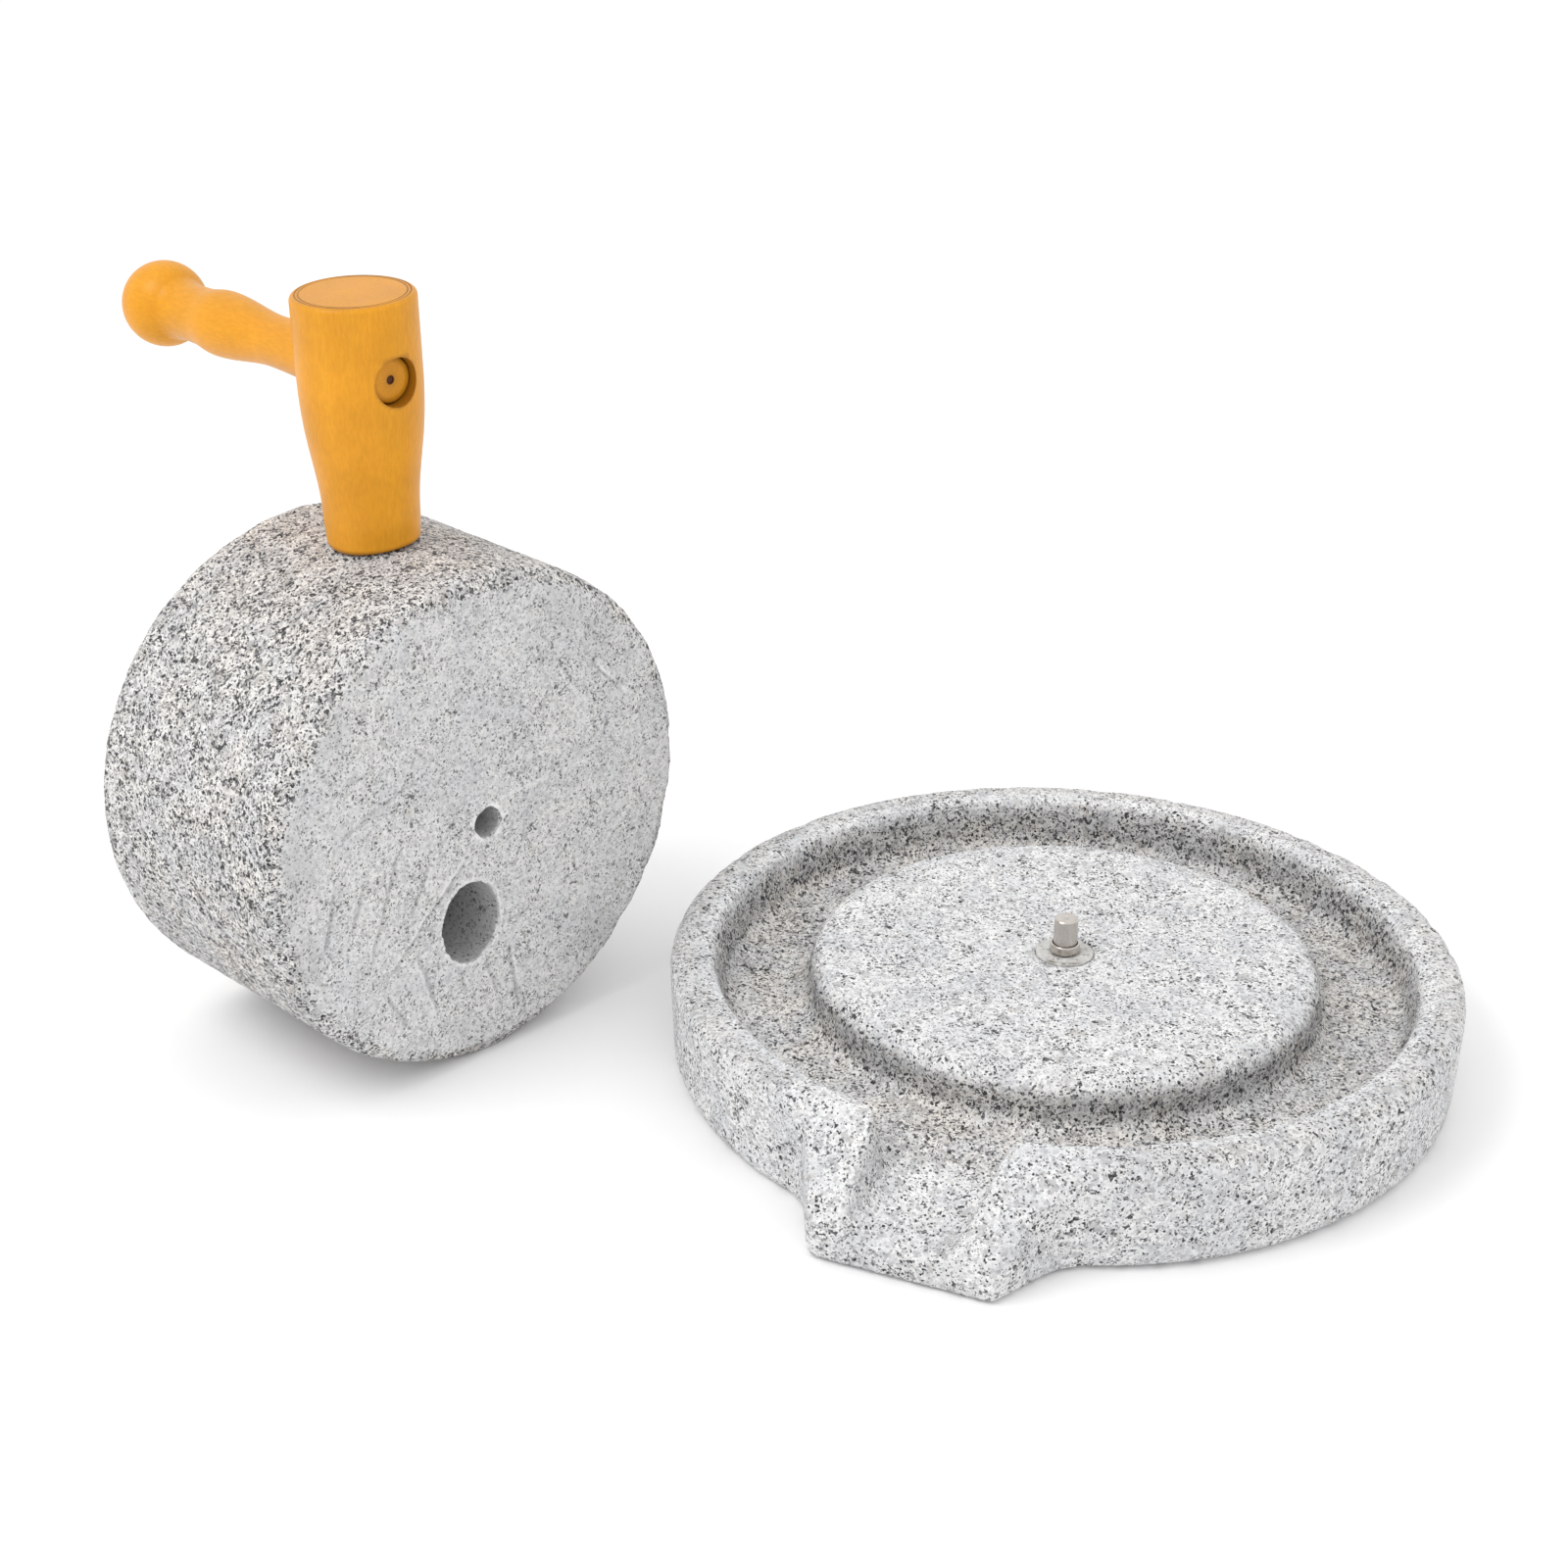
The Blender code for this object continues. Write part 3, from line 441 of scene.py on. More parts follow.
def carve_runner(mesh):
    """Roughens the rim and the back, breaks the edges and cuts the strokes."""
    co, no = read_mesh(mesh)
    y, z, r = from_runner_axis(co)
    x = co[:, 0]
    flat = smooth(0.0016, 0.0004, co[:, 2]) * smooth(-0.5, -0.9, no[:, 2])

    broad = rough_noise(co, 0.018, 2, 220)
    mid = rough_noise(co, 0.0050, 2, 240)
    fine = rough_noise(co, 0.0026, 1, 260)
    pit, mark = cell_pits(co, 0.0036, 280)
    pits = smooth(0.55, 0.15, pit) * (mark > 0.62)
    face = smooth(RUNNER_FACE_X - 0.0014, RUNNER_FACE_X - 0.0005, x)
    face *= smooth(0.0862, 0.0838, ragged_border(co, r, mid))
    back = smooth(RUNNER_BACK_X + 0.003, RUNNER_BACK_X + 0.001, x)
    rim = smooth(0.0825, 0.0870, r) * (1 - face)

    depth = rim * (0.00018 * (1 + broad) + 0.00020 * (1 + mid) + 0.00014 * (1 + fine)
                   + 0.00034 * pits)
    depth += back * (0.00018 * (1 + broad) + 0.00015 * (1 + mid) + 0.00024 * pits)
    depth += face * (0.00004 * (1 + broad) + 0.00002 * (1 + fine))

    at_front = smooth(RUNNER_FACE_X - 0.0085, RUNNER_FACE_X - 0.0030, x)
    at_back = smooth(RUNNER_BACK_X + 0.008, RUNNER_BACK_X + 0.003, x)
    front_edge = bump_at(r, 0.0872, 0.0034) * at_front
    back_edge = bump_at(r, 0.0865, 0.0040) * at_back
    broken = smooth(0.05, 0.65, value_noise(co, 0.0115, 340)) * 0.9
    broken += smooth(0.0, 0.6, value_noise(co, 0.0048, 350)) * 0.7
    broken += smooth(-0.2, 0.6, value_noise(co, 0.0024, 360)) * 0.4
    depth += 0.00045 * front_edge * broken + 0.0003 * back_edge * broken
    depth += 0.00035 * front_edge * (1 - face)

    stroke_depth, _ = stroke_marks(y, z)
    on_face = smooth(RUNNER_FACE_X - 0.0010, RUNNER_FACE_X - 0.0004, x) * smooth(0.0855, 0.0835, r)
    depth += stroke_depth * on_face
    socket = smooth(0.0165, 0.0145, np.hypot(x - ARM_X, y + 0.0031)) * (z > 0)
    depth *= (1 - flat) * (1 - 0.9 * socket)
    co -= no * depth[:, None]
    co[:, 2] = np.maximum(co[:, 2], 0.0)
    write_points(mesh, co)


def drill_runner(piece):
    """The oval feed hole with its funnel at the back, and the blind bore for the pin."""
    turn = Matrix.Rotation(-math.pi / 2, 4, "Y")
    oval = Matrix.Diagonal((FEED_HALF_HEIGHT / FEED_HALF_WIDTH, 1, 1, 1))
    feed = hole_cutter("feed", FEED_HALF_WIDTH, RUNNER_FACE_X - RUNNER_BACK_X, 120, 0.0009, 600,
                       funnel=(FUNNEL_HALF_WIDTH, FUNNEL_DEPTH))
    fix_place(feed, Matrix.Translation((RUNNER_FACE_X, RUNNER_AXIS_Y + FEED_Y,
                                        RUNNER_AXIS_Z + FEED_Z)) @ turn @ oval)
    bore = hole_cutter("bore", BORE_RADIUS, PIN_RISE + BORE_EXTRA_DEPTH, 72, 0.0005, 620)
    fix_place(bore, Matrix.Translation((RUNNER_FACE_X, RUNNER_AXIS_Y, RUNNER_AXIS_Z)) @ turn)
    for cutter in (feed, bore):
        apply_boolean(piece, cutter, "DIFFERENCE", "MANIFOLD")


def paint_runner(mesh):
    """Numbers for the material: rough rim and back, ground face, strokes and holes."""
    co, _ = read_mesh(mesh)
    y, z, r = from_runner_axis(co)
    x = co[:, 0]
    mid = rough_noise(co, 0.0050, 2, 240)
    face = smooth(RUNNER_FACE_X - 0.0014, RUNNER_FACE_X - 0.0006, x)
    face *= smooth(0.0858, 0.0838, ragged_border(co, r, mid))
    back = smooth(RUNNER_BACK_X + 0.004, RUNNER_BACK_X + 0.001, x)
    feed_r = feed_distance(y, z)
    holes = np.maximum(feed_r < FEED_HALF_WIDTH + 0.0004, r < BORE_RADIUS + 0.0002) * (
        x < RUNNER_FACE_X - 0.0012)
    rim = smooth(0.080, 0.084, r) * (1 - face)
    stroke_depth, pale = stroke_marks(y, z)
    ring = bump_at(r, BORE_RADIUS + 0.0009, 0.0009) * smooth(-0.5, 0.2, value_noise(co, 0.004, 640))
    ring = np.maximum(ring, 0.5 * bump_at(feed_r, FEED_HALF_WIDTH + 0.0007, 0.0006))
    pale = np.maximum(pale, ring) * face
    patch = smooth(0.0, 0.6, value_noise(co, 0.016, 650)) * smooth(0.060, 0.078, r)
    # The strokes' grooves are painted darker, painted shade and dirt in them, and the inside of the
    # holes is painted darker too.
    groove_shade_and_dirt = np.clip(stroke_depth / 0.00025, 0, 1) * face
    paint(mesh, "tone", 0.99 - 0.05 * rim - 0.06 * patch * face - 0.28 * groove_shade_and_dirt - 0.22 * holes)
    paint(mesh, "coarse", 1.0 * rim + 0.55 * back * (1 - rim) + 0.22 * face)
    paint(mesh, "ground", face * (0.55 + 0.45 * patch) + 0.9 * holes)
    paint(mesh, "pale", pale)
    arm_near = np.hypot(x - ARM_X, y) / 0.050
    blush = np.exp(-arm_near ** 2) * (z > 0) * smooth(-0.3, 0.5, rough_noise(co, 0.02, 2, 360))
    warm = smooth(-0.1, 0.6, rough_noise(co, 0.014, 2, 380))
    paint(mesh, "stain", (0.60 + 0.50 * blush + 0.30 * warm) * rim + 0.20 * face)


def make_runner():
    """The runner: coarse chipped rim, ground face with dressing strokes, and its two holes."""
    piece = runner_blank()
    refine_strokes(piece.data)
    carve_runner(piece.data)
    drill_runner(piece)
    paint_runner(piece.data)
    finish_piece(piece, "runner_stone", granite("runner_granite"), 70)


def shade(mesh, angle):
    """Smooth shading, with edges sharper than the angle kept."""
    mesh.shade_smooth()
    mesh.set_sharp_from_angle(angle=math.radians(angle))


def finish_piece(piece, node, mat, angle):
    """Shades the piece and lets it take the place of its solid."""
    shade(piece.data, angle)
    piece.data.materials.clear()
    piece.data.materials.append(mat)
    piece.data.polygons.foreach_set("material_index", np.zeros(len(piece.data.polygons), np.int32))
    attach(piece, "root")
    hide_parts(node)


def new_material(name):
    mat = bpy.data.materials.new(name)
    mat.use_nodes = True
    return mat, mat.node_tree, mat.node_tree.nodes["Principled BSDF"]


def add(tree, kind, inputs=None, **settings):
    """A shader node with its settings, and its inputs linked or set."""
    node = tree.nodes.new(kind)
    for key, value in settings.items():
        setattr(node, key, value)
    for key, value in (inputs or {}).items():
        socket = node.inputs[key]
        if isinstance(value, bpy.types.NodeSocket):
            tree.links.new(value, socket)
        else:
            socket.default_value = value
    return node


def calc(tree, operation, a, b=0.0, c=None):
    inputs = {0: a, 1: b}
    if c is not None:
        inputs[2] = c
    return add(tree, "ShaderNodeMath", inputs, operation=operation).outputs[0]


def ramp(tree, factor, stops):
    """A colour that changes with the factor through the (place, colour) stops."""
    node = add(tree, "ShaderNodeValToRGB", {"Fac": factor})
    points = node.color_ramp.elements
    while len(points) < len(stops):
        points.new(0.5)
    for point, (place, colour) in zip(points, stops):
        point.position = place
        point.color = (*colour, 1.0)
    return node.outputs["Color"]


def spread(tree, value, low, high, to_low=0.0, to_high=1.0):
    """The value from low to high, eased over the new range."""
    node = add(tree, "ShaderNodeMapRange", {"Value": value, "From Min": low, "From Max": high,
                                            "To Min": to_low, "To Max": to_high},
               interpolation_type="SMOOTHSTEP")
    return node.outputs[0]


def blend_colour(tree, factor, a, b, mode="MIX"):
    node = add(tree, "ShaderNodeMix", data_type="RGBA", blend_type=mode)
    for index, value in ((0, factor), (6, a), (7, b)):
        if isinstance(value, bpy.types.NodeSocket):
            tree.links.new(value, node.inputs[index])
        else:
            node.inputs[index].default_value = value
    return node.outputs[2]


def attribute(tree, name):
    """The number painted on the mesh under this name."""
    return add(tree, "ShaderNodeAttribute", attribute_name=name,
               attribute_type="GEOMETRY").outputs["Fac"]


def noise_value(tree, vector, scale, detail=2.0, rough=0.5, distortion=0.0):
    return add(tree, "ShaderNodeTexNoise", {"Vector": vector, "Scale": scale, "Detail": detail,
                                            "Roughness": rough, "Distortion": distortion})


def cells(tree, vector, scale):
    """Random cells: the distance to the seed, and two numbers that belong to the cell."""
    node = add(tree, "ShaderNodeTexVoronoi", {"Vector": vector, "Scale": scale, "Randomness": 1.0})
    split = add(tree, "ShaderNodeSeparateColor", {0: node.outputs["Color"]})
    return node.outputs["Distance"], split.outputs[0], split.outputs[1]


def shifted(tree, vector, scale, amount):
    """The vector pushed about a little, so that the cells get natural outlines."""
    wobble = noise_value(tree, vector, scale, 2.0).outputs["Color"]
    centred = add(tree, "ShaderNodeVectorMath", {0: wobble, 1: (0.5, 0.5, 0.5)},
                  operation="SUBTRACT").outputs[0]
    scaled = add(tree, "ShaderNodeVectorMath", {0: centred, "Scale": amount},
                 operation="SCALE").outputs[0]
    return add(tree, "ShaderNodeVectorMath", {0: vector, 1: scaled}, operation="ADD").outputs[0]


def grey(tree, value):
    return add(tree, "ShaderNodeCombineColor", {0: value, 1: value, 2: value}).outputs[0]


def flecks(tree, place, scale, warp, limit):
    """Scattered dark grains: 1 inside a grain, and a second number that is the grain's own shade."""
    _, pick, own = cells(tree, shifted(tree, place, scale * 1.3, warp), scale)
    return spread(tree, calc(tree, "SUBTRACT", pick, limit), -0.02, 0.03), own


def granite(name):
    """Pale fine-grained granite, darker and coarser where the stone was left rough."""
    mat, tree, shader = new_material(name)
    place = add(tree, "ShaderNodeTexCoord").outputs["Object"]
    tone = attribute(tree, "tone")
    coarse = attribute(tree, "coarse")
    stain = attribute(tree, "stain")
    ground = attribute(tree, "ground")
    pale = attribute(tree, "pale")

    # Feldspar and quartz
    _, pick, own = cells(tree, shifted(tree, place, 900.0, 0.0009), 850.0)
    stone = ramp(tree, pick, [(0.0, (0.82, 0.82, 0.82)), (0.45, (0.73, 0.73, 0.73)),
                              (0.75, (0.63, 0.63, 0.64)), (0.92, (0.48, 0.48, 0.495)),
                              (1.0, (0.64, 0.63, 0.61))])
    grains = noise_value(tree, place, 1500.0, 2.0, 0.6).outputs["Fac"]
    cloud = noise_value(tree, place, 60.0, 4.0, 0.65).outputs["Fac"]
    veil = ramp(tree, spread(tree, cloud, 0.34, 0.66), [(0.0, (0.89, 0.90, 0.915)),
                                                        (0.55, (1.01, 1.01, 1.01)),
                                                        (1.0, (1.06, 1.06, 1.05))])
    light = blend_colour(tree, 1.0, veil, grey(tree, spread(tree, grains, 0.30, 0.70, 0.88, 1.10)),
                         "MULTIPLY")
    stone = blend_colour(tree, 1.0, stone, light, "MULTIPLY")

    # Larger grey or warm grains, here and there
    _, big, big_own = cells(tree, shifted(tree, place, 420.0, 0.0026), 350.0)
    quartz = calc(tree, "MULTIPLY", spread(tree, calc(tree, "SUBTRACT", big, calc(
        tree, "MULTIPLY_ADD", coarse, -0.14, 0.95)), -0.01, 0.04), 0.55)
    quartz_colour = ramp(tree, big_own, [(0.0, (0.36, 0.35, 0.34)), (0.6, (0.44, 0.44, 0.45)),
                                         (1.0, (0.52, 0.49, 0.45))])
    stone = blend_colour(tree, quartz, stone, quartz_colour)

    # Ground face: stone dust veils the pale grains, and the dark ones a little
    stone = blend_colour(tree, calc(tree, "MULTIPLY", ground, 0.62), stone, (0.575, 0.575, 0.58, 1.0))
    shown = calc(tree, "MULTIPLY_ADD", ground, -0.30, 1.0)

    # Dark mica: tiny and small grains everywhere, larger ones where it clusters
    cluster = spread(tree, noise_value(tree, place, 120.0, 3.0, 0.65).outputs["Fac"], 0.38, 0.64)
    haze = calc(tree, "MULTIPLY", spread(tree, noise_value(tree, place, 330.0, 2.0).outputs["Fac"],
                0.50, 0.66), calc(tree, "MULTIPLY_ADD", coarse, 0.28, 0.10))
    stone = blend_colour(tree, calc(tree, "MULTIPLY", haze, cluster), stone, (0.20, 0.20, 0.205, 1))
    tiny_limit = calc(tree, "SUBTRACT", calc(tree, "MULTIPLY_ADD", coarse, -0.10, 0.945),
                      calc(tree, "MULTIPLY", cluster, 0.06))
    tiny, tiny_own = flecks(tree, place, 2000.0, 0.0004, tiny_limit)
    small_limit = calc(tree, "SUBTRACT", calc(tree, "MULTIPLY_ADD", coarse, -0.105, 0.985),
                       calc(tree, "MULTIPLY", cluster, 0.09))
    small, small_own = flecks(tree, place, 1300.0, 0.0007, small_limit)
    large_limit = calc(tree, "SUBTRACT", calc(tree, "MULTIPLY_ADD", coarse, -0.092, 1.03),
                       calc(tree, "MULTIPLY", cluster, 0.075))
    large, _ = flecks(tree, place, 760.0, 0.0013, large_limit)
    dark = calc(tree, "MAXIMUM", small, large)
    tiny_colour = ramp(tree, tiny_own, [(0.0, (0.07, 0.07, 0.075)), (1.0, (0.30, 0.30, 0.31))])
    stone = blend_colour(tree, calc(tree, "MULTIPLY", tiny, shown), stone, tiny_colour)
    dark_colour = ramp(tree, small_own, [(0.0, (0.022, 0.023, 0.026)), (0.5, (0.07, 0.072, 0.077)),
                                         (1.0, (0.26, 0.26, 0.27))])
    stone = blend_colour(tree, calc(tree, "MULTIPLY", dark, shown), stone, dark_colour)

    # Crushed stone whitens the strokes
    stone = blend_colour(tree, calc(tree, "MULTIPLY", pale, 0.92), stone, (0.90, 0.90, 0.90, 1.0))

    # The tone number darkens or lightens the stone: its own lighter and darker parts, and also painted
    # shade and dirt in the runner's grooves and painted light on the bedstone's floor toward the spout.
    stone = blend_colour(tree, 1.0, stone, grey(tree, tone), "MULTIPLY")
    warm = calc(tree, "MULTIPLY", stain, spread(tree, noise_value(
        tree, place, 60.0, 3.0).outputs["Fac"], 0.35, 0.65, 0.45, 1.0))
    stone = blend_colour(tree, calc(tree, "MULTIPLY", warm, 0.70), stone,
                         (0.985, 0.925, 0.86, 1.0), "MULTIPLY")
    tree.links.new(stone, shader.inputs["Base Color"])
    tree.links.new(spread(tree, own, 0.0, 1.0, 0.72, 0.92), shader.inputs["Roughness"])
    shader.inputs["Specular IOR Level"].default_value = 0.30

    relief = calc(tree, "MULTIPLY_ADD", dark, -0.35, grains)
    strength = spread(tree, coarse, 0.0, 1.0, 0.20, 0.60)
    bump = add(tree, "ShaderNodeBump", {"Height": relief, "Strength": strength, "Distance": 0.0004})
    tree.links.new(bump.outputs[0], shader.inputs["Normal"])
    return mat


def lathe(name, outline, segments):
    """A closed turning about Z through (r, z) points that start and end on the axis, or a ring."""
    bm = bmesh.new()
    closed = outline[0][0] > 0
    rings = []
    for r, z in outline:
        if r <= 0:
            rings.append([bm.verts.new((0.0, 0.0, z))])
        else:
            rings.append([bm.verts.new((r * math.cos(a), r * math.sin(a), z))
                          for a in (2 * math.pi * k / segments for k in range(segments))])
    pairs = list(zip(rings, rings[1:]))
    if closed:
        pairs.append((rings[-1], rings[0]))
    for low, high in pairs:
        for k in range(segments):
            n = (k + 1) % segments
            if len(low) == 1:
                bm.faces.new((low[0], high[n], high[k]))
            elif len(high) == 1:
                bm.faces.new((low[k], low[n], high[0]))
            else:
                bm.faces.new((low[k], low[n], high[n], high[k]))
    bmesh.ops.recalc_face_normals(bm, faces=bm.faces)
    mesh = bpy.data.meshes.new(name)
    bm.to_mesh(mesh)
    bm.free()
    piece = bpy.data.objects.new(name, mesh)
    bpy.context.scene.collection.objects.link(piece)
    return piece


def arc(centre_r, centre_z, radius, start, end, steps):
    """Points of a round stretch of an outline, from one angle in degrees to the other."""
    return [(centre_r + radius * math.cos(math.radians(start + (end - start) * k / steps)),
             centre_z + radius * math.sin(math.radians(start + (end - start) * k / steps)))
            for k in range(steps + 1)]


def eased(start, end, slope_start, slope_end, steps):
    """Points of a smooth curve from one (place, radius) station to the next, without the first."""
    (x0, y0), (x1, y1) = start, end
    h = x1 - x0
    points = []
    for k in range(1, steps + 1):
        t = k / steps
        y = ((2 * t ** 3 - 3 * t ** 2 + 1) * y0 + (t ** 3 - 2 * t ** 2 + t) * h * slope_start
             + (3 * t ** 2 - 2 * t ** 3) * y1 + (t ** 3 - t ** 2) * h * slope_end)
        points.append((x0 + h * t, y))
    return points


def apply_boolean(piece, cutter, operation="DIFFERENCE", solver="EXACT"):
    """Cuts or joins the piece with the other shape, which is then removed."""
    modifier = piece.modifiers.new("cut", "BOOLEAN")
    modifier.operation = operation
    modifier.solver = solver
    modifier.object = cutter
    bpy.context.view_layer.update()
    depsgraph = bpy.context.evaluated_depsgraph_get()
    mesh = bpy.data.meshes.new_from_object(piece.evaluated_get(depsgraph))
    piece.modifiers.clear()
    old = piece.data
    piece.data = mesh
    bpy.data.meshes.remove(old)
    bpy.data.objects.remove(cutter, do_unlink=True)


def fix_place(piece, matrix):
    """Moves the mesh itself, so the object stays at the origin."""
    piece.data.transform(matrix)
    piece.data.update()


def arm_outline(extra=0.0):
    """The arm's turned outline, made larger all round by the extra."""
    side = [(z, r) for r, z in arc(ARM_FOOT_RADIUS - ARM_FOOT_ROUND, ARM_FOOT_ROUND,
                                   ARM_FOOT_ROUND, -90, 0, 6)]
    foot = (ARM_FOOT_ROUND, ARM_FOOT_RADIUS)
    waist = (ARM_WAIST_HEIGHT, ARM_WAIST_RADIUS)
    swell = (ARM_SWELL_HEIGHT, ARM_SWELL_RADIUS)
    full = (ARM_FULL_HEIGHT, ARM_TOP_RADIUS)
    side += eased(foot, waist, 0, 0, 12)
    side += eased(waist, swell, 0, ARM_SWELL_SLOPE, 28)
    side += eased(swell, full, ARM_SWELL_SLOPE, 0, 28)
    side += [(ARM_FULL_HEIGHT + 0.003 * k, ARM_TOP_RADIUS) for k in range(1, 8)]
    points = [(r + extra, z) for z, r in side]
    points += arc(ARM_TOP_RADIUS - ARM_TOP_ROUND, ARM_HEIGHT - ARM_TOP_ROUND,
                  ARM_TOP_ROUND + extra, 0, 90, 8)
    if extra == 0:
        for k in range(1, 19):
            r = ARM_TOP_RADIUS - ARM_TOP_ROUND - 0.00012 * k
            cut = sum(bump_at(r, place, 0.00016) for place in TOP_LINES)
            points.append((r, ARM_HEIGHT - 0.00022 * cut))
    points += [(r, ARM_HEIGHT + extra) for r in (0.016, 0.012, 0.008, 0.004, 0.0)]
    return [(0.0, 0.0), (0.008, 0.0)] + points


def arm_place():
    """Where the arm stands: its own Z is its axis, and its origin is on the runner's rim."""
    axis = Matrix.Translation((ARM_X, RUNNER_AXIS_Y, RUNNER_AXIS_Z))
    return axis @ Matrix.Rotation(RUNNER_TURN, 4, "X") @ Matrix.Translation((0, 0, GRIND_RADIUS))


def across_arm(quarter_turns):
    """Turns a shape made about Z so that it runs along the grip's axis, through the arm."""
    return (Matrix.Translation((0, 0, GRIP_HEIGHT))
            @ Matrix.Rotation(quarter_turns * math.pi / 2, 4, "Y"))


def make_arm():
    """The arm, turned, with its tunnel for the grip."""
    arm = lathe("wooden_arm", arm_outline(), 128)
    co, _ = read_mesh(arm.data)
    # The foot follows the stone's round rim
    fall = GRIND_RADIUS - np.sqrt(GRIND_RADIUS ** 2 - np.minimum(np.abs(co[:, 1]), 0.03) ** 2)
    co[:, 2] += (GAP - fall) * smooth(0.010, 0.0, co[:, 2])
    write_points(arm.data, co)
    tunnel_outline = [(0.0, -TUNNEL_REACH), (TUNNEL_RADIUS, -TUNNEL_REACH),
                      (TUNNEL_RADIUS, TUNNEL_REACH), (0.0, TUNNEL_REACH)]
    tunnel = lathe("tunnel", tunnel_outline, 96)
    fix_place(tunnel, across_arm(1))
    apply_boolean(arm, tunnel)
    co, _ = read_mesh(arm.data)
    paint_wood_arm(arm.data, co)
    fix_place(arm, arm_place())
    finish_piece(arm, "handle_arm", wood("arm_wood", "Z"), 32)


def paint_wood_arm(mesh, co):
    """Darkens the turned lines and the tunnel's lip, paints shade into the tunnel's depth and paints a
    contact shadow at the foot.
    """
    radial = np.hypot(co[:, 0], co[:, 1])
    line = sum(bump_at(radial, place, 0.00028) for place in TOP_LINES)
    line = line * (co[:, 2] > ARM_HEIGHT - 0.0006)
    line *= 0.70 + 0.35 * value_noise(co, 0.012, 700)
    top = smooth(ARM_HEIGHT - 0.0010, ARM_HEIGHT - 0.0001, co[:, 2])
    hole = np.hypot(co[:, 1], co[:, 2] - GRIP_HEIGHT)
    tunnel_wall_shade = smooth(TUNNEL_RADIUS + 0.0006, TUNNEL_RADIUS + 0.0001, hole)
    foot = smooth(0.0020, 0.0, co[:, 2])
    deep = smooth(0.0150, 0.0125, np.abs(co[:, 0]))
    lip = bump_at(hole, TUNNEL_RADIUS, 0.0003) * (1 - deep)
    # Painted shade on the tunnel's wall, darker deeper in, and a painted contact shadow at the foot
    # where it stands on the stone; the turned lines, the lip and the top are darkened too.
    paint(mesh, "grime_and_shade", 0.10 * top + 0.95 * line + tunnel_wall_shade * (0.22 + 0.6 * deep)
          + 0.25 * lip + 0.5 * foot)


def grip_outline():
    """The grip's turned outline, from the ball's end to the shoulder at the arm."""
    join_back = math.sqrt(GRIP_BALL_RADIUS ** 2 - GRIP_JOIN_RADIUS ** 2)
    join_angle = math.degrees(math.atan2(-join_back, GRIP_JOIN_RADIUS))
    outline = arc(0.0, GRIP_REACH, GRIP_BALL_RADIUS, 90, join_angle, 40)
    outline[0] = (0.0, GRIP_REACH + GRIP_BALL_RADIUS)
    join = (GRIP_REACH - join_back, GRIP_JOIN_RADIUS)
    waist = (GRIP_REACH - GRIP_WAIST_BACK, GRIP_WAIST_RADIUS)
    bulge = (GRIP_REACH - GRIP_BULGE_BACK, GRIP_BULGE_RADIUS)
    neck = (GRIP_REACH - GRIP_NECK_BACK, GRIP_NECK_RADIUS)
    shoulder = (GRIP_SHOULDER_DEPTH, GRIP_SHOULDER_RADIUS)
    neck_slope = -(shoulder[1] - neck[1]) / (neck[0] - shoulder[0])
    stem = eased(join, waist, join_back / GRIP_JOIN_RADIUS / 2, 0, 18)
    stem += eased(waist, bulge, 0, 0, 18)
    stem += eased(bulge, neck, 0, 0, 28)
    stem += eased(neck, shoulder, 0, neck_slope, 20)
    outline += [(r, place) for place, r in stem]
    outline += [(0.006, GRIP_SHOULDER_DEPTH), (0.0, GRIP_SHOULDER_DEPTH)]
    return outline


def tenon_outline(end):
    """The tenon, from inside the grip to its free end, which has a small centre hole."""
    side = TENON_START - end - GRIP_TENON_CHAMFER
    outline = [(0.0, TENON_START), (GRIP_TENON_RADIUS, TENON_START)]
    outline += [(GRIP_TENON_RADIUS, TENON_START - side * k / 12) for k in range(1, 13)]
    outline += [(GRIP_TENON_RADIUS - 0.0004, end + 0.00015), (GRIP_TENON_RADIUS - 0.0008, end)]
    outline += [(r, end) for r in (0.0055, 0.0035, 0.0018)]
    outline += [(0.00135, end + 0.0001), (0.00115, end + 0.0006), (0.0006, end + 0.0009),
                (0.0, end + 0.0010)]
    return outline


def make_grip():
    """The grip, cut to the arm's side, joined to its tenon and darkened round the tenon's end."""
    grip = lathe("wooden_grip", grip_outline(), 112)
    fix_place(grip, across_arm(-1))
    apply_boolean(grip, lathe("arm_envelope", arm_outline(GAP), 160))
    end = -(ARM_TOP_RADIUS - GRIP_TENON_SET_BACK)
    tenon = lathe("tenon", tenon_outline(end), 112)
    fix_place(tenon, across_arm(-1))
    apply_boolean(grip, tenon, "UNION")
    co, _ = read_mesh(grip.data)
    # The tenon's end is painted darker in its centre hole and round its edge at the joint with the arm,
    # with a faint ring between.
    radial = np.hypot(co[:, 1], co[:, 2] - GRIP_HEIGHT)
    at_end = smooth(-end - 0.0012, -end, co[:, 0])
    mark = smooth(0.0019, 0.0014, radial) * smooth(-end - 0.0030, -end - 0.0014, co[:, 0])
    edge = bump_at(radial, GRIP_TENON_RADIUS, 0.0008) * smooth(-end - 0.0030, -end, co[:, 0])
    halo = 0.30 * bump_at(radial, 0.0025, 0.0009) * at_end
    paint(grip.data, "grime_and_shade", mark + 0.90 * edge + halo)
    fix_place(grip, arm_place())
    finish_piece(grip, "handle_grip", wood("grip_wood", "X"), 32)


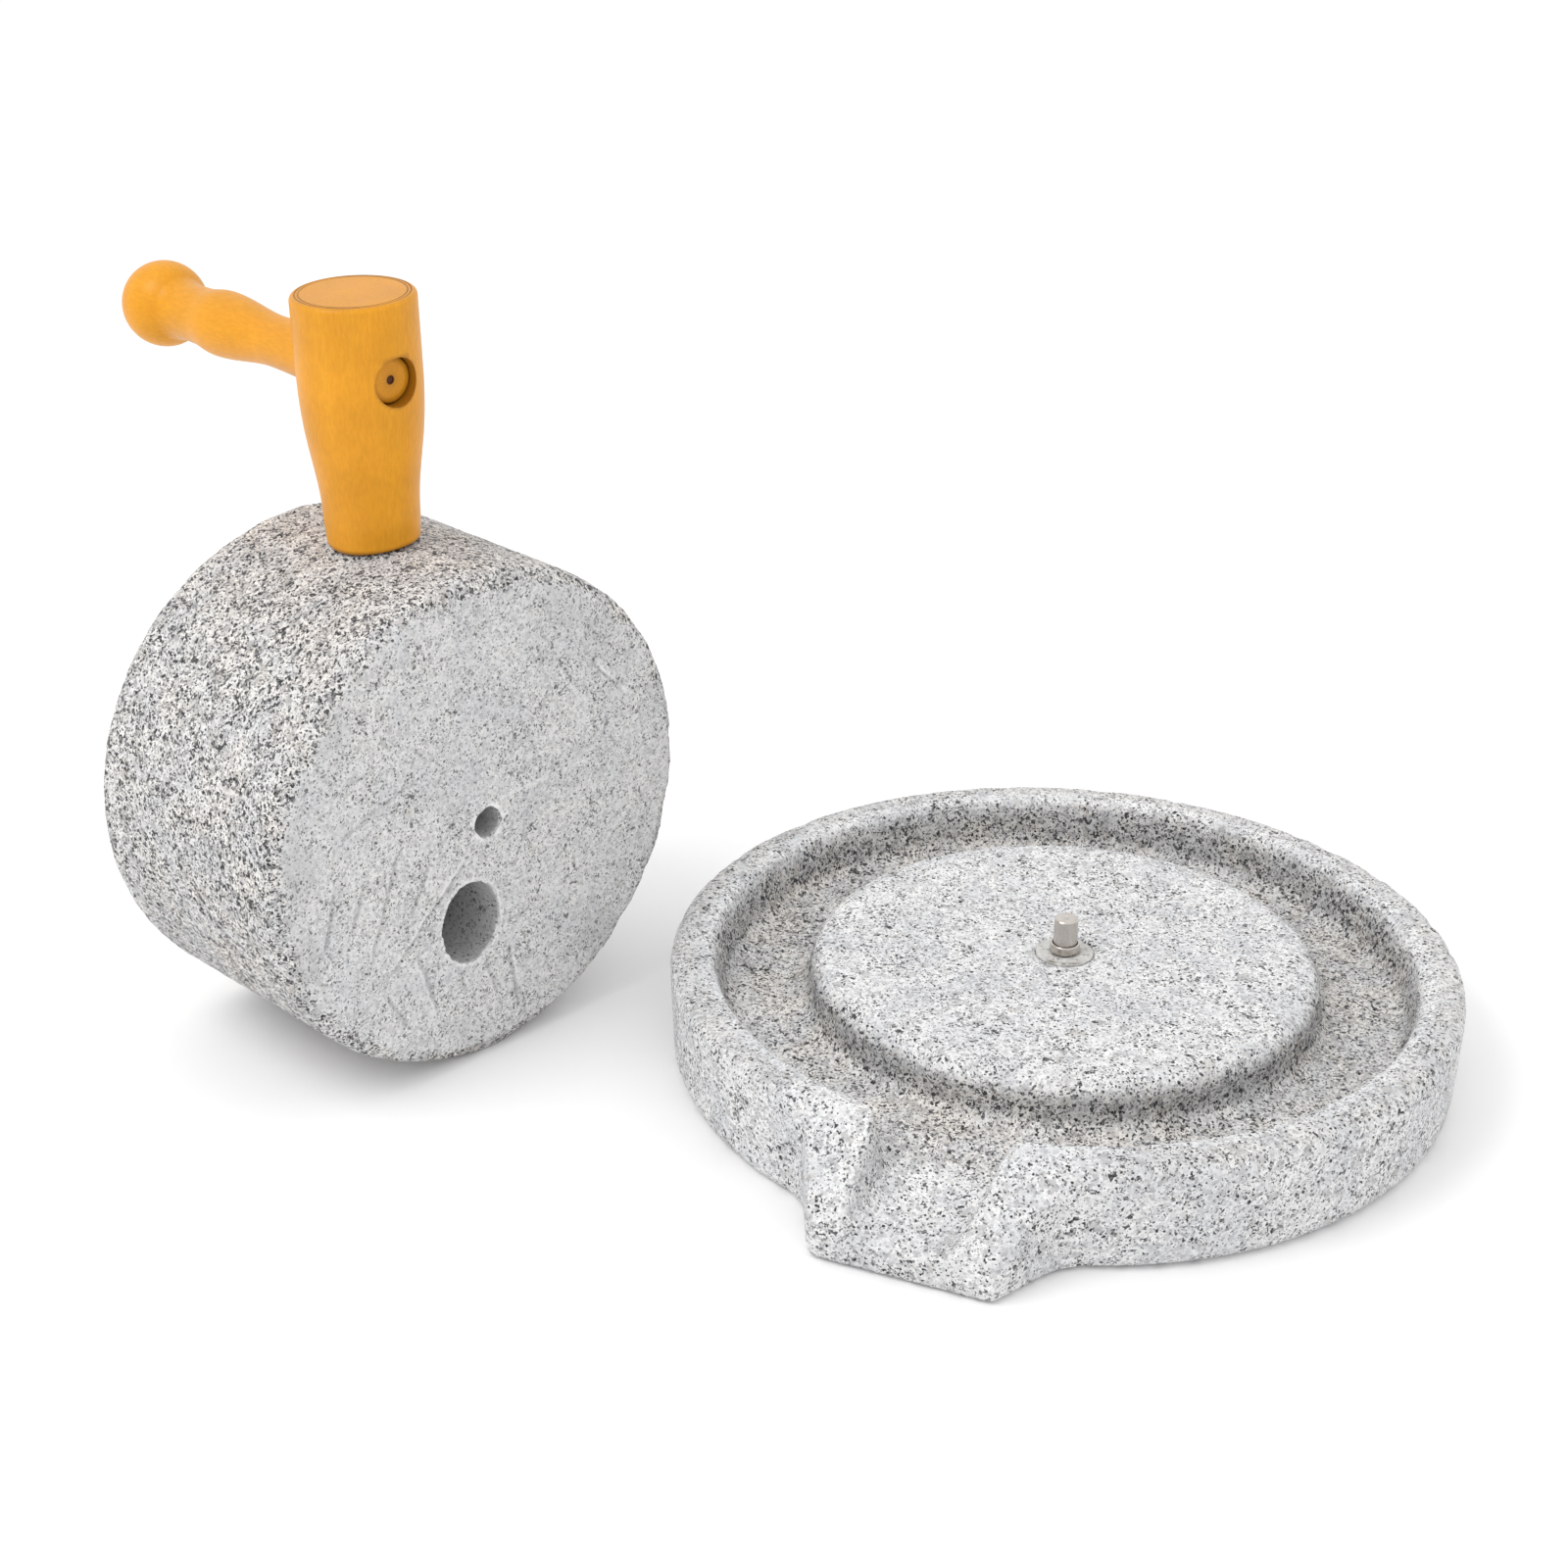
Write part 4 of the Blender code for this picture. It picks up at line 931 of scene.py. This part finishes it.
def make_pin():
    """The steel pin, with its small chamfer."""
    low = FACE_HEIGHT - PIN_SET_DEPTH
    top = FACE_HEIGHT + PIN_RISE
    side = PIN_RISE + PIN_SET_DEPTH - PIN_CHAMFER
    outline = [(0.0, low), (PIN_RADIUS, low)]
    outline += [(PIN_RADIUS, low + side * k / 40) for k in range(1, 41)]
    outline += [(PIN_RADIUS - 0.0002, top - PIN_CHAMFER + 0.0003),
                (PIN_RADIUS - PIN_CHAMFER, top - 0.00005),
                (PIN_RADIUS - PIN_CHAMFER - 0.00015, top)]
    outline += [(r, top) for r in (0.0028, 0.0020, 0.0012, 0.0006, 0.0)]
    pin = lathe("steel_pin", outline, 72)
    co, _ = read_mesh(pin.data)
    paint(pin.data, "grime_and_shade", 0.25 * smooth(FACE_HEIGHT + 0.0046, FACE_HEIGHT + 0.0036, co[:, 2]))
    finish_piece(pin, "spindle_pin", steel("pin_steel"), 30)


def make_collar():
    """The collar round the pin's foot."""
    low = FACE_HEIGHT + GAP
    high = low + COLLAR_HEIGHT
    inner = PIN_RADIUS + GAP
    edge = low + COLLAR_EDGE
    side = COLLAR_HEIGHT - COLLAR_ROUND - COLLAR_EDGE
    outline = [(inner, low), (COLLAR_RADIUS - COLLAR_EDGE, low), (COLLAR_RADIUS, edge)]
    outline += [(COLLAR_RADIUS, edge + side * k / 8) for k in range(1, 8)]
    outline += arc(COLLAR_RADIUS - COLLAR_ROUND, high - COLLAR_ROUND, COLLAR_ROUND, 0, 90, 4)
    outline += [(inner + 0.0001, high), (inner, high - 0.0001)]
    collar = lathe("steel_collar", outline, 72)
    co, _ = read_mesh(collar.data)
    paint(collar.data, "grime_and_shade", 0.75 * smooth(low + 0.0011, low + 0.0003, co[:, 2]))
    finish_piece(collar, "spindle_collar", steel("collar_steel"), 30)


def make_grout():
    """The mortar ring, lumpy and pitted, with a crumbled stretch on the side toward the spout."""
    low = FACE_HEIGHT - GROUT_DEPTH
    inner = PIN_RADIUS + GAP
    top_outer = GROUT_OUTER - GROUT_ROUND
    outline = [(inner, low), (GROUT_OUTER, low)]
    outline += [(GROUT_OUTER, low + (GROUT_DEPTH - GROUT_ROUND) * k / 12) for k in range(1, 12)]
    outline += arc(top_outer, FACE_HEIGHT - GROUT_ROUND, GROUT_ROUND, 0, 90, 4)
    outline += [(top_outer - (top_outer - inner) * k / 22, FACE_HEIGHT) for k in range(1, 23)]
    grout = lathe("grout", outline, 168)
    co, _ = read_mesh(grout.data)
    r = np.hypot(co[:, 0], co[:, 1])
    at_top = smooth(FACE_HEIGHT - 0.0016, FACE_HEIGHT - 0.0004, co[:, 2])
    lumps = rough_noise(co, 0.0022, 2, 400)
    pit, mark = cell_pits(co, 0.0016, 420)
    holes = smooth(0.6, 0.2, pit) * (mark > 0.6)
    ring = bump_at(r, 0.0078, 0.0016)
    co[:, 2] -= at_top * (0.00018 * (1 + lumps) + 0.0003 * holes * smooth(0.0052, 0.0064, r)
                          + 0.00015 * ring)
    write_points(grout.data, co)
    bearing = np.arctan2(co[:, 1], co[:, 0]) - math.radians(-55)
    bearing = np.abs(np.mod(bearing + math.pi, 2 * math.pi) - math.pi)
    crumbled = bump_at(r, 0.0092, 0.0009) * smooth(0.85, 0.35, bearing) * smooth(-0.5, 0.1, lumps)
    paint(grout.data, "grime_and_shade", at_top * (0.30 * holes + 0.85 * crumbled)
          + 0.30 * smooth(0.0062, 0.0050, r))
    finish_piece(grout, "grout_ring", mortar("grout_mortar"), 60)


def wood(name, axis):
    """Orange lacquered wood with fine grain along the turned axis."""
    mat, tree, shader = new_material(name)
    place = add(tree, "ShaderNodeTexCoord").outputs["Object"]
    along = {"X": (12.0, 110.0, 110.0), "Z": (110.0, 110.0, 12.0)}[axis]
    fine = {"X": (260.0, 1000.0, 1000.0), "Z": (1000.0, 1000.0, 260.0)}[axis]
    pulled = add(tree, "ShaderNodeVectorMath", {0: place, 1: along}, operation="MULTIPLY").outputs[0]
    thread = add(tree, "ShaderNodeVectorMath", {0: place, 1: fine}, operation="MULTIPLY").outputs[0]
    bands = noise_value(tree, pulled, 1.0, 3.0, 0.55, 0.6).outputs["Fac"]
    pores = noise_value(tree, thread, 1.0, 3.0, 0.65).outputs["Fac"]
    clouds = noise_value(tree, place, 45.0, 3.0).outputs["Fac"]
    tint = ramp(tree, bands, [(0.25, (0.690, 0.285, 0.0125)), (0.50, (0.700, 0.295, 0.014)),
                              (0.75, (0.715, 0.310, 0.016))])
    mottle = spread(tree, pores, 0.34, 0.66, 0.955, 1.05)
    tint = blend_colour(tree, 1.0, tint, grey(tree, mottle), "MULTIPLY")
    tint = blend_colour(tree, spread(tree, pores, 0.64, 0.72, 0.0, 0.12), tint,
                        (0.80, 0.42, 0.05, 1.0))
    cloudy = spread(tree, clouds, 0.30, 0.70, 0.92, 1.05)
    tint = blend_colour(tree, 1.0, tint, grey(tree, cloudy), "MULTIPLY")
    # This number darkens the wood toward brown: turned lines, dirt at the joints, and on the arm also
    # painted shade in the tunnel and a painted contact shadow at its foot.
    grime_and_shade = attribute(tree, "grime_and_shade")
    tint = blend_colour(tree, grime_and_shade, tint, (0.085, 0.026, 0.006, 1.0))
    tree.links.new(tint, shader.inputs["Base Color"])
    tree.links.new(spread(tree, bands, 0.2, 0.8, 0.36, 0.44), shader.inputs["Roughness"])
    shader.inputs["Specular IOR Level"].default_value = 0.20
    shader.inputs["Coat Weight"].default_value = 0.08
    shader.inputs["Coat Roughness"].default_value = 0.30
    relief = calc(tree, "MULTIPLY_ADD", pores, 0.8, calc(tree, "MULTIPLY", bands, 0.2))
    bump = add(tree, "ShaderNodeBump", {"Height": relief, "Strength": 0.16, "Distance": 0.0003})
    tree.links.new(bump.outputs[0], shader.inputs["Normal"])
    return mat


def steel(name):
    """Satin turned steel, with a little rust where it meets the stone."""
    mat, tree, shader = new_material(name)
    place = add(tree, "ShaderNodeTexCoord").outputs["Object"]
    rings = add(tree, "ShaderNodeVectorMath", {0: place, 1: (300.0, 300.0, 9000.0)},
                operation="MULTIPLY").outputs[0]
    turning = noise_value(tree, rings, 1.0, 2.0, 0.5).outputs["Fac"]
    grime_and_shade = attribute(tree, "grime_and_shade")
    patch = noise_value(tree, place, 900.0, 3.0, 0.6).outputs["Fac"]
    rust = calc(tree, "MULTIPLY", grime_and_shade, spread(tree, patch, 0.35, 0.60))
    tint = ramp(tree, turning, [(0.3, (0.50, 0.465, 0.43)), (0.7, (0.66, 0.62, 0.575))])
    tint = blend_colour(tree, rust, tint, (0.10, 0.045, 0.022, 1.0))
    tree.links.new(tint, shader.inputs["Base Color"])
    tree.links.new(calc(tree, "MULTIPLY_ADD", rust, -0.75, 1.0), shader.inputs["Metallic"])
    tree.links.new(calc(tree, "MULTIPLY_ADD", rust, 0.45, calc(tree, "MULTIPLY_ADD", turning, 0.12,
                        0.18)), shader.inputs["Roughness"])
    bump = add(tree, "ShaderNodeBump", {"Height": turning, "Strength": 0.10, "Distance": 0.0001})
    tree.links.new(bump.outputs[0], shader.inputs["Normal"])
    return mat


def mortar(name):
    """Pale mortar with small dark grains."""
    mat, tree, shader = new_material(name)
    place = add(tree, "ShaderNodeTexCoord").outputs["Object"]
    _, pick, _ = cells(tree, shifted(tree, place, 700.0, 0.0008), 900.0)
    tint = ramp(tree, pick, [(0.0, (0.55, 0.545, 0.53)), (0.5, (0.62, 0.615, 0.60)),
                             (0.93, (0.48, 0.47, 0.45)), (1.0, (0.24, 0.23, 0.22))])
    grime_and_shade = attribute(tree, "grime_and_shade")
    tint = blend_colour(tree, grime_and_shade, tint, (0.13, 0.11, 0.085, 1.0))
    tree.links.new(tint, shader.inputs["Base Color"])
    shader.inputs["Roughness"].default_value = 0.9
    grit = noise_value(tree, place, 1800.0, 2.0).outputs["Fac"]
    bump = add(tree, "ShaderNodeBump", {"Height": grit, "Strength": 0.5, "Distance": 0.0003})
    tree.links.new(bump.outputs[0], shader.inputs["Normal"])
    return mat


def make_floor():
    """A pale floor, which is only there for the picture."""
    bm = bmesh.new()
    bmesh.ops.create_circle(bm, cap_ends=True, radius=9.0, segments=64)
    mesh = bpy.data.meshes.new("floor")
    bm.to_mesh(mesh)
    bm.free()
    floor = bpy.data.objects.new("floor", mesh)
    bpy.context.scene.collection.objects.link(floor)
    floor.location = (0, 0, -0.0004)
    mat, _, shader = new_material("pale_floor")
    shader.inputs["Base Color"].default_value = (0.96, 0.96, 0.96, 1.0)
    shader.inputs["Roughness"].default_value = 0.9
    shader.inputs["Specular IOR Level"].default_value = 0.1
    mesh.materials.append(mat)


def make_light(name, place, target, size, watts):
    """A round lamp that faces the target."""
    lamp = bpy.data.lights.new(name, "AREA")
    lamp.shape = "DISK"
    lamp.size = size
    lamp.energy = watts
    obj = bpy.data.objects.new(name, lamp)
    bpy.context.scene.collection.objects.link(obj)
    obj.location = place
    obj.rotation_euler = (Vector(target) - Vector(place)).to_track_quat("-Z", "Y").to_euler()


def make_light_and_camera():
    """White surroundings, one soft lamp and the photo's camera."""
    scene = bpy.context.scene
    world = bpy.data.worlds.new("studio")
    scene.world = world
    world.use_nodes = True
    backdrop = world.node_tree.nodes["Background"]
    backdrop.inputs["Color"].default_value = (1.0, 1.0, 1.0, 1.0)
    backdrop.inputs["Strength"].default_value = 1.05
    make_light("key", (-0.35, -1.05, 1.45), (-0.03, -0.05, 0.05), 0.8, 8.0)
    scene.view_settings.view_transform = "Standard"
    scene.view_settings.look = "None"

    lens = bpy.data.cameras.new("camera")
    lens.lens = CAMERA_LENS
    lens.sensor_width = 36.0
    lens.clip_start = 0.01
    camera = bpy.data.objects.new("camera", lens)
    scene.collection.objects.link(camera)
    turn = Matrix((CAMERA_RIGHT, CAMERA_UP, CAMERA_BACK)).transposed().to_4x4()
    camera.matrix_world = Matrix.Translation(CAMERA_PLACE) @ turn
    scene.camera = camera


make_floor()
make_bedstone()
make_runner()
make_pin()
make_collar()
make_grout()
make_arm()
make_grip()
make_light_and_camera()
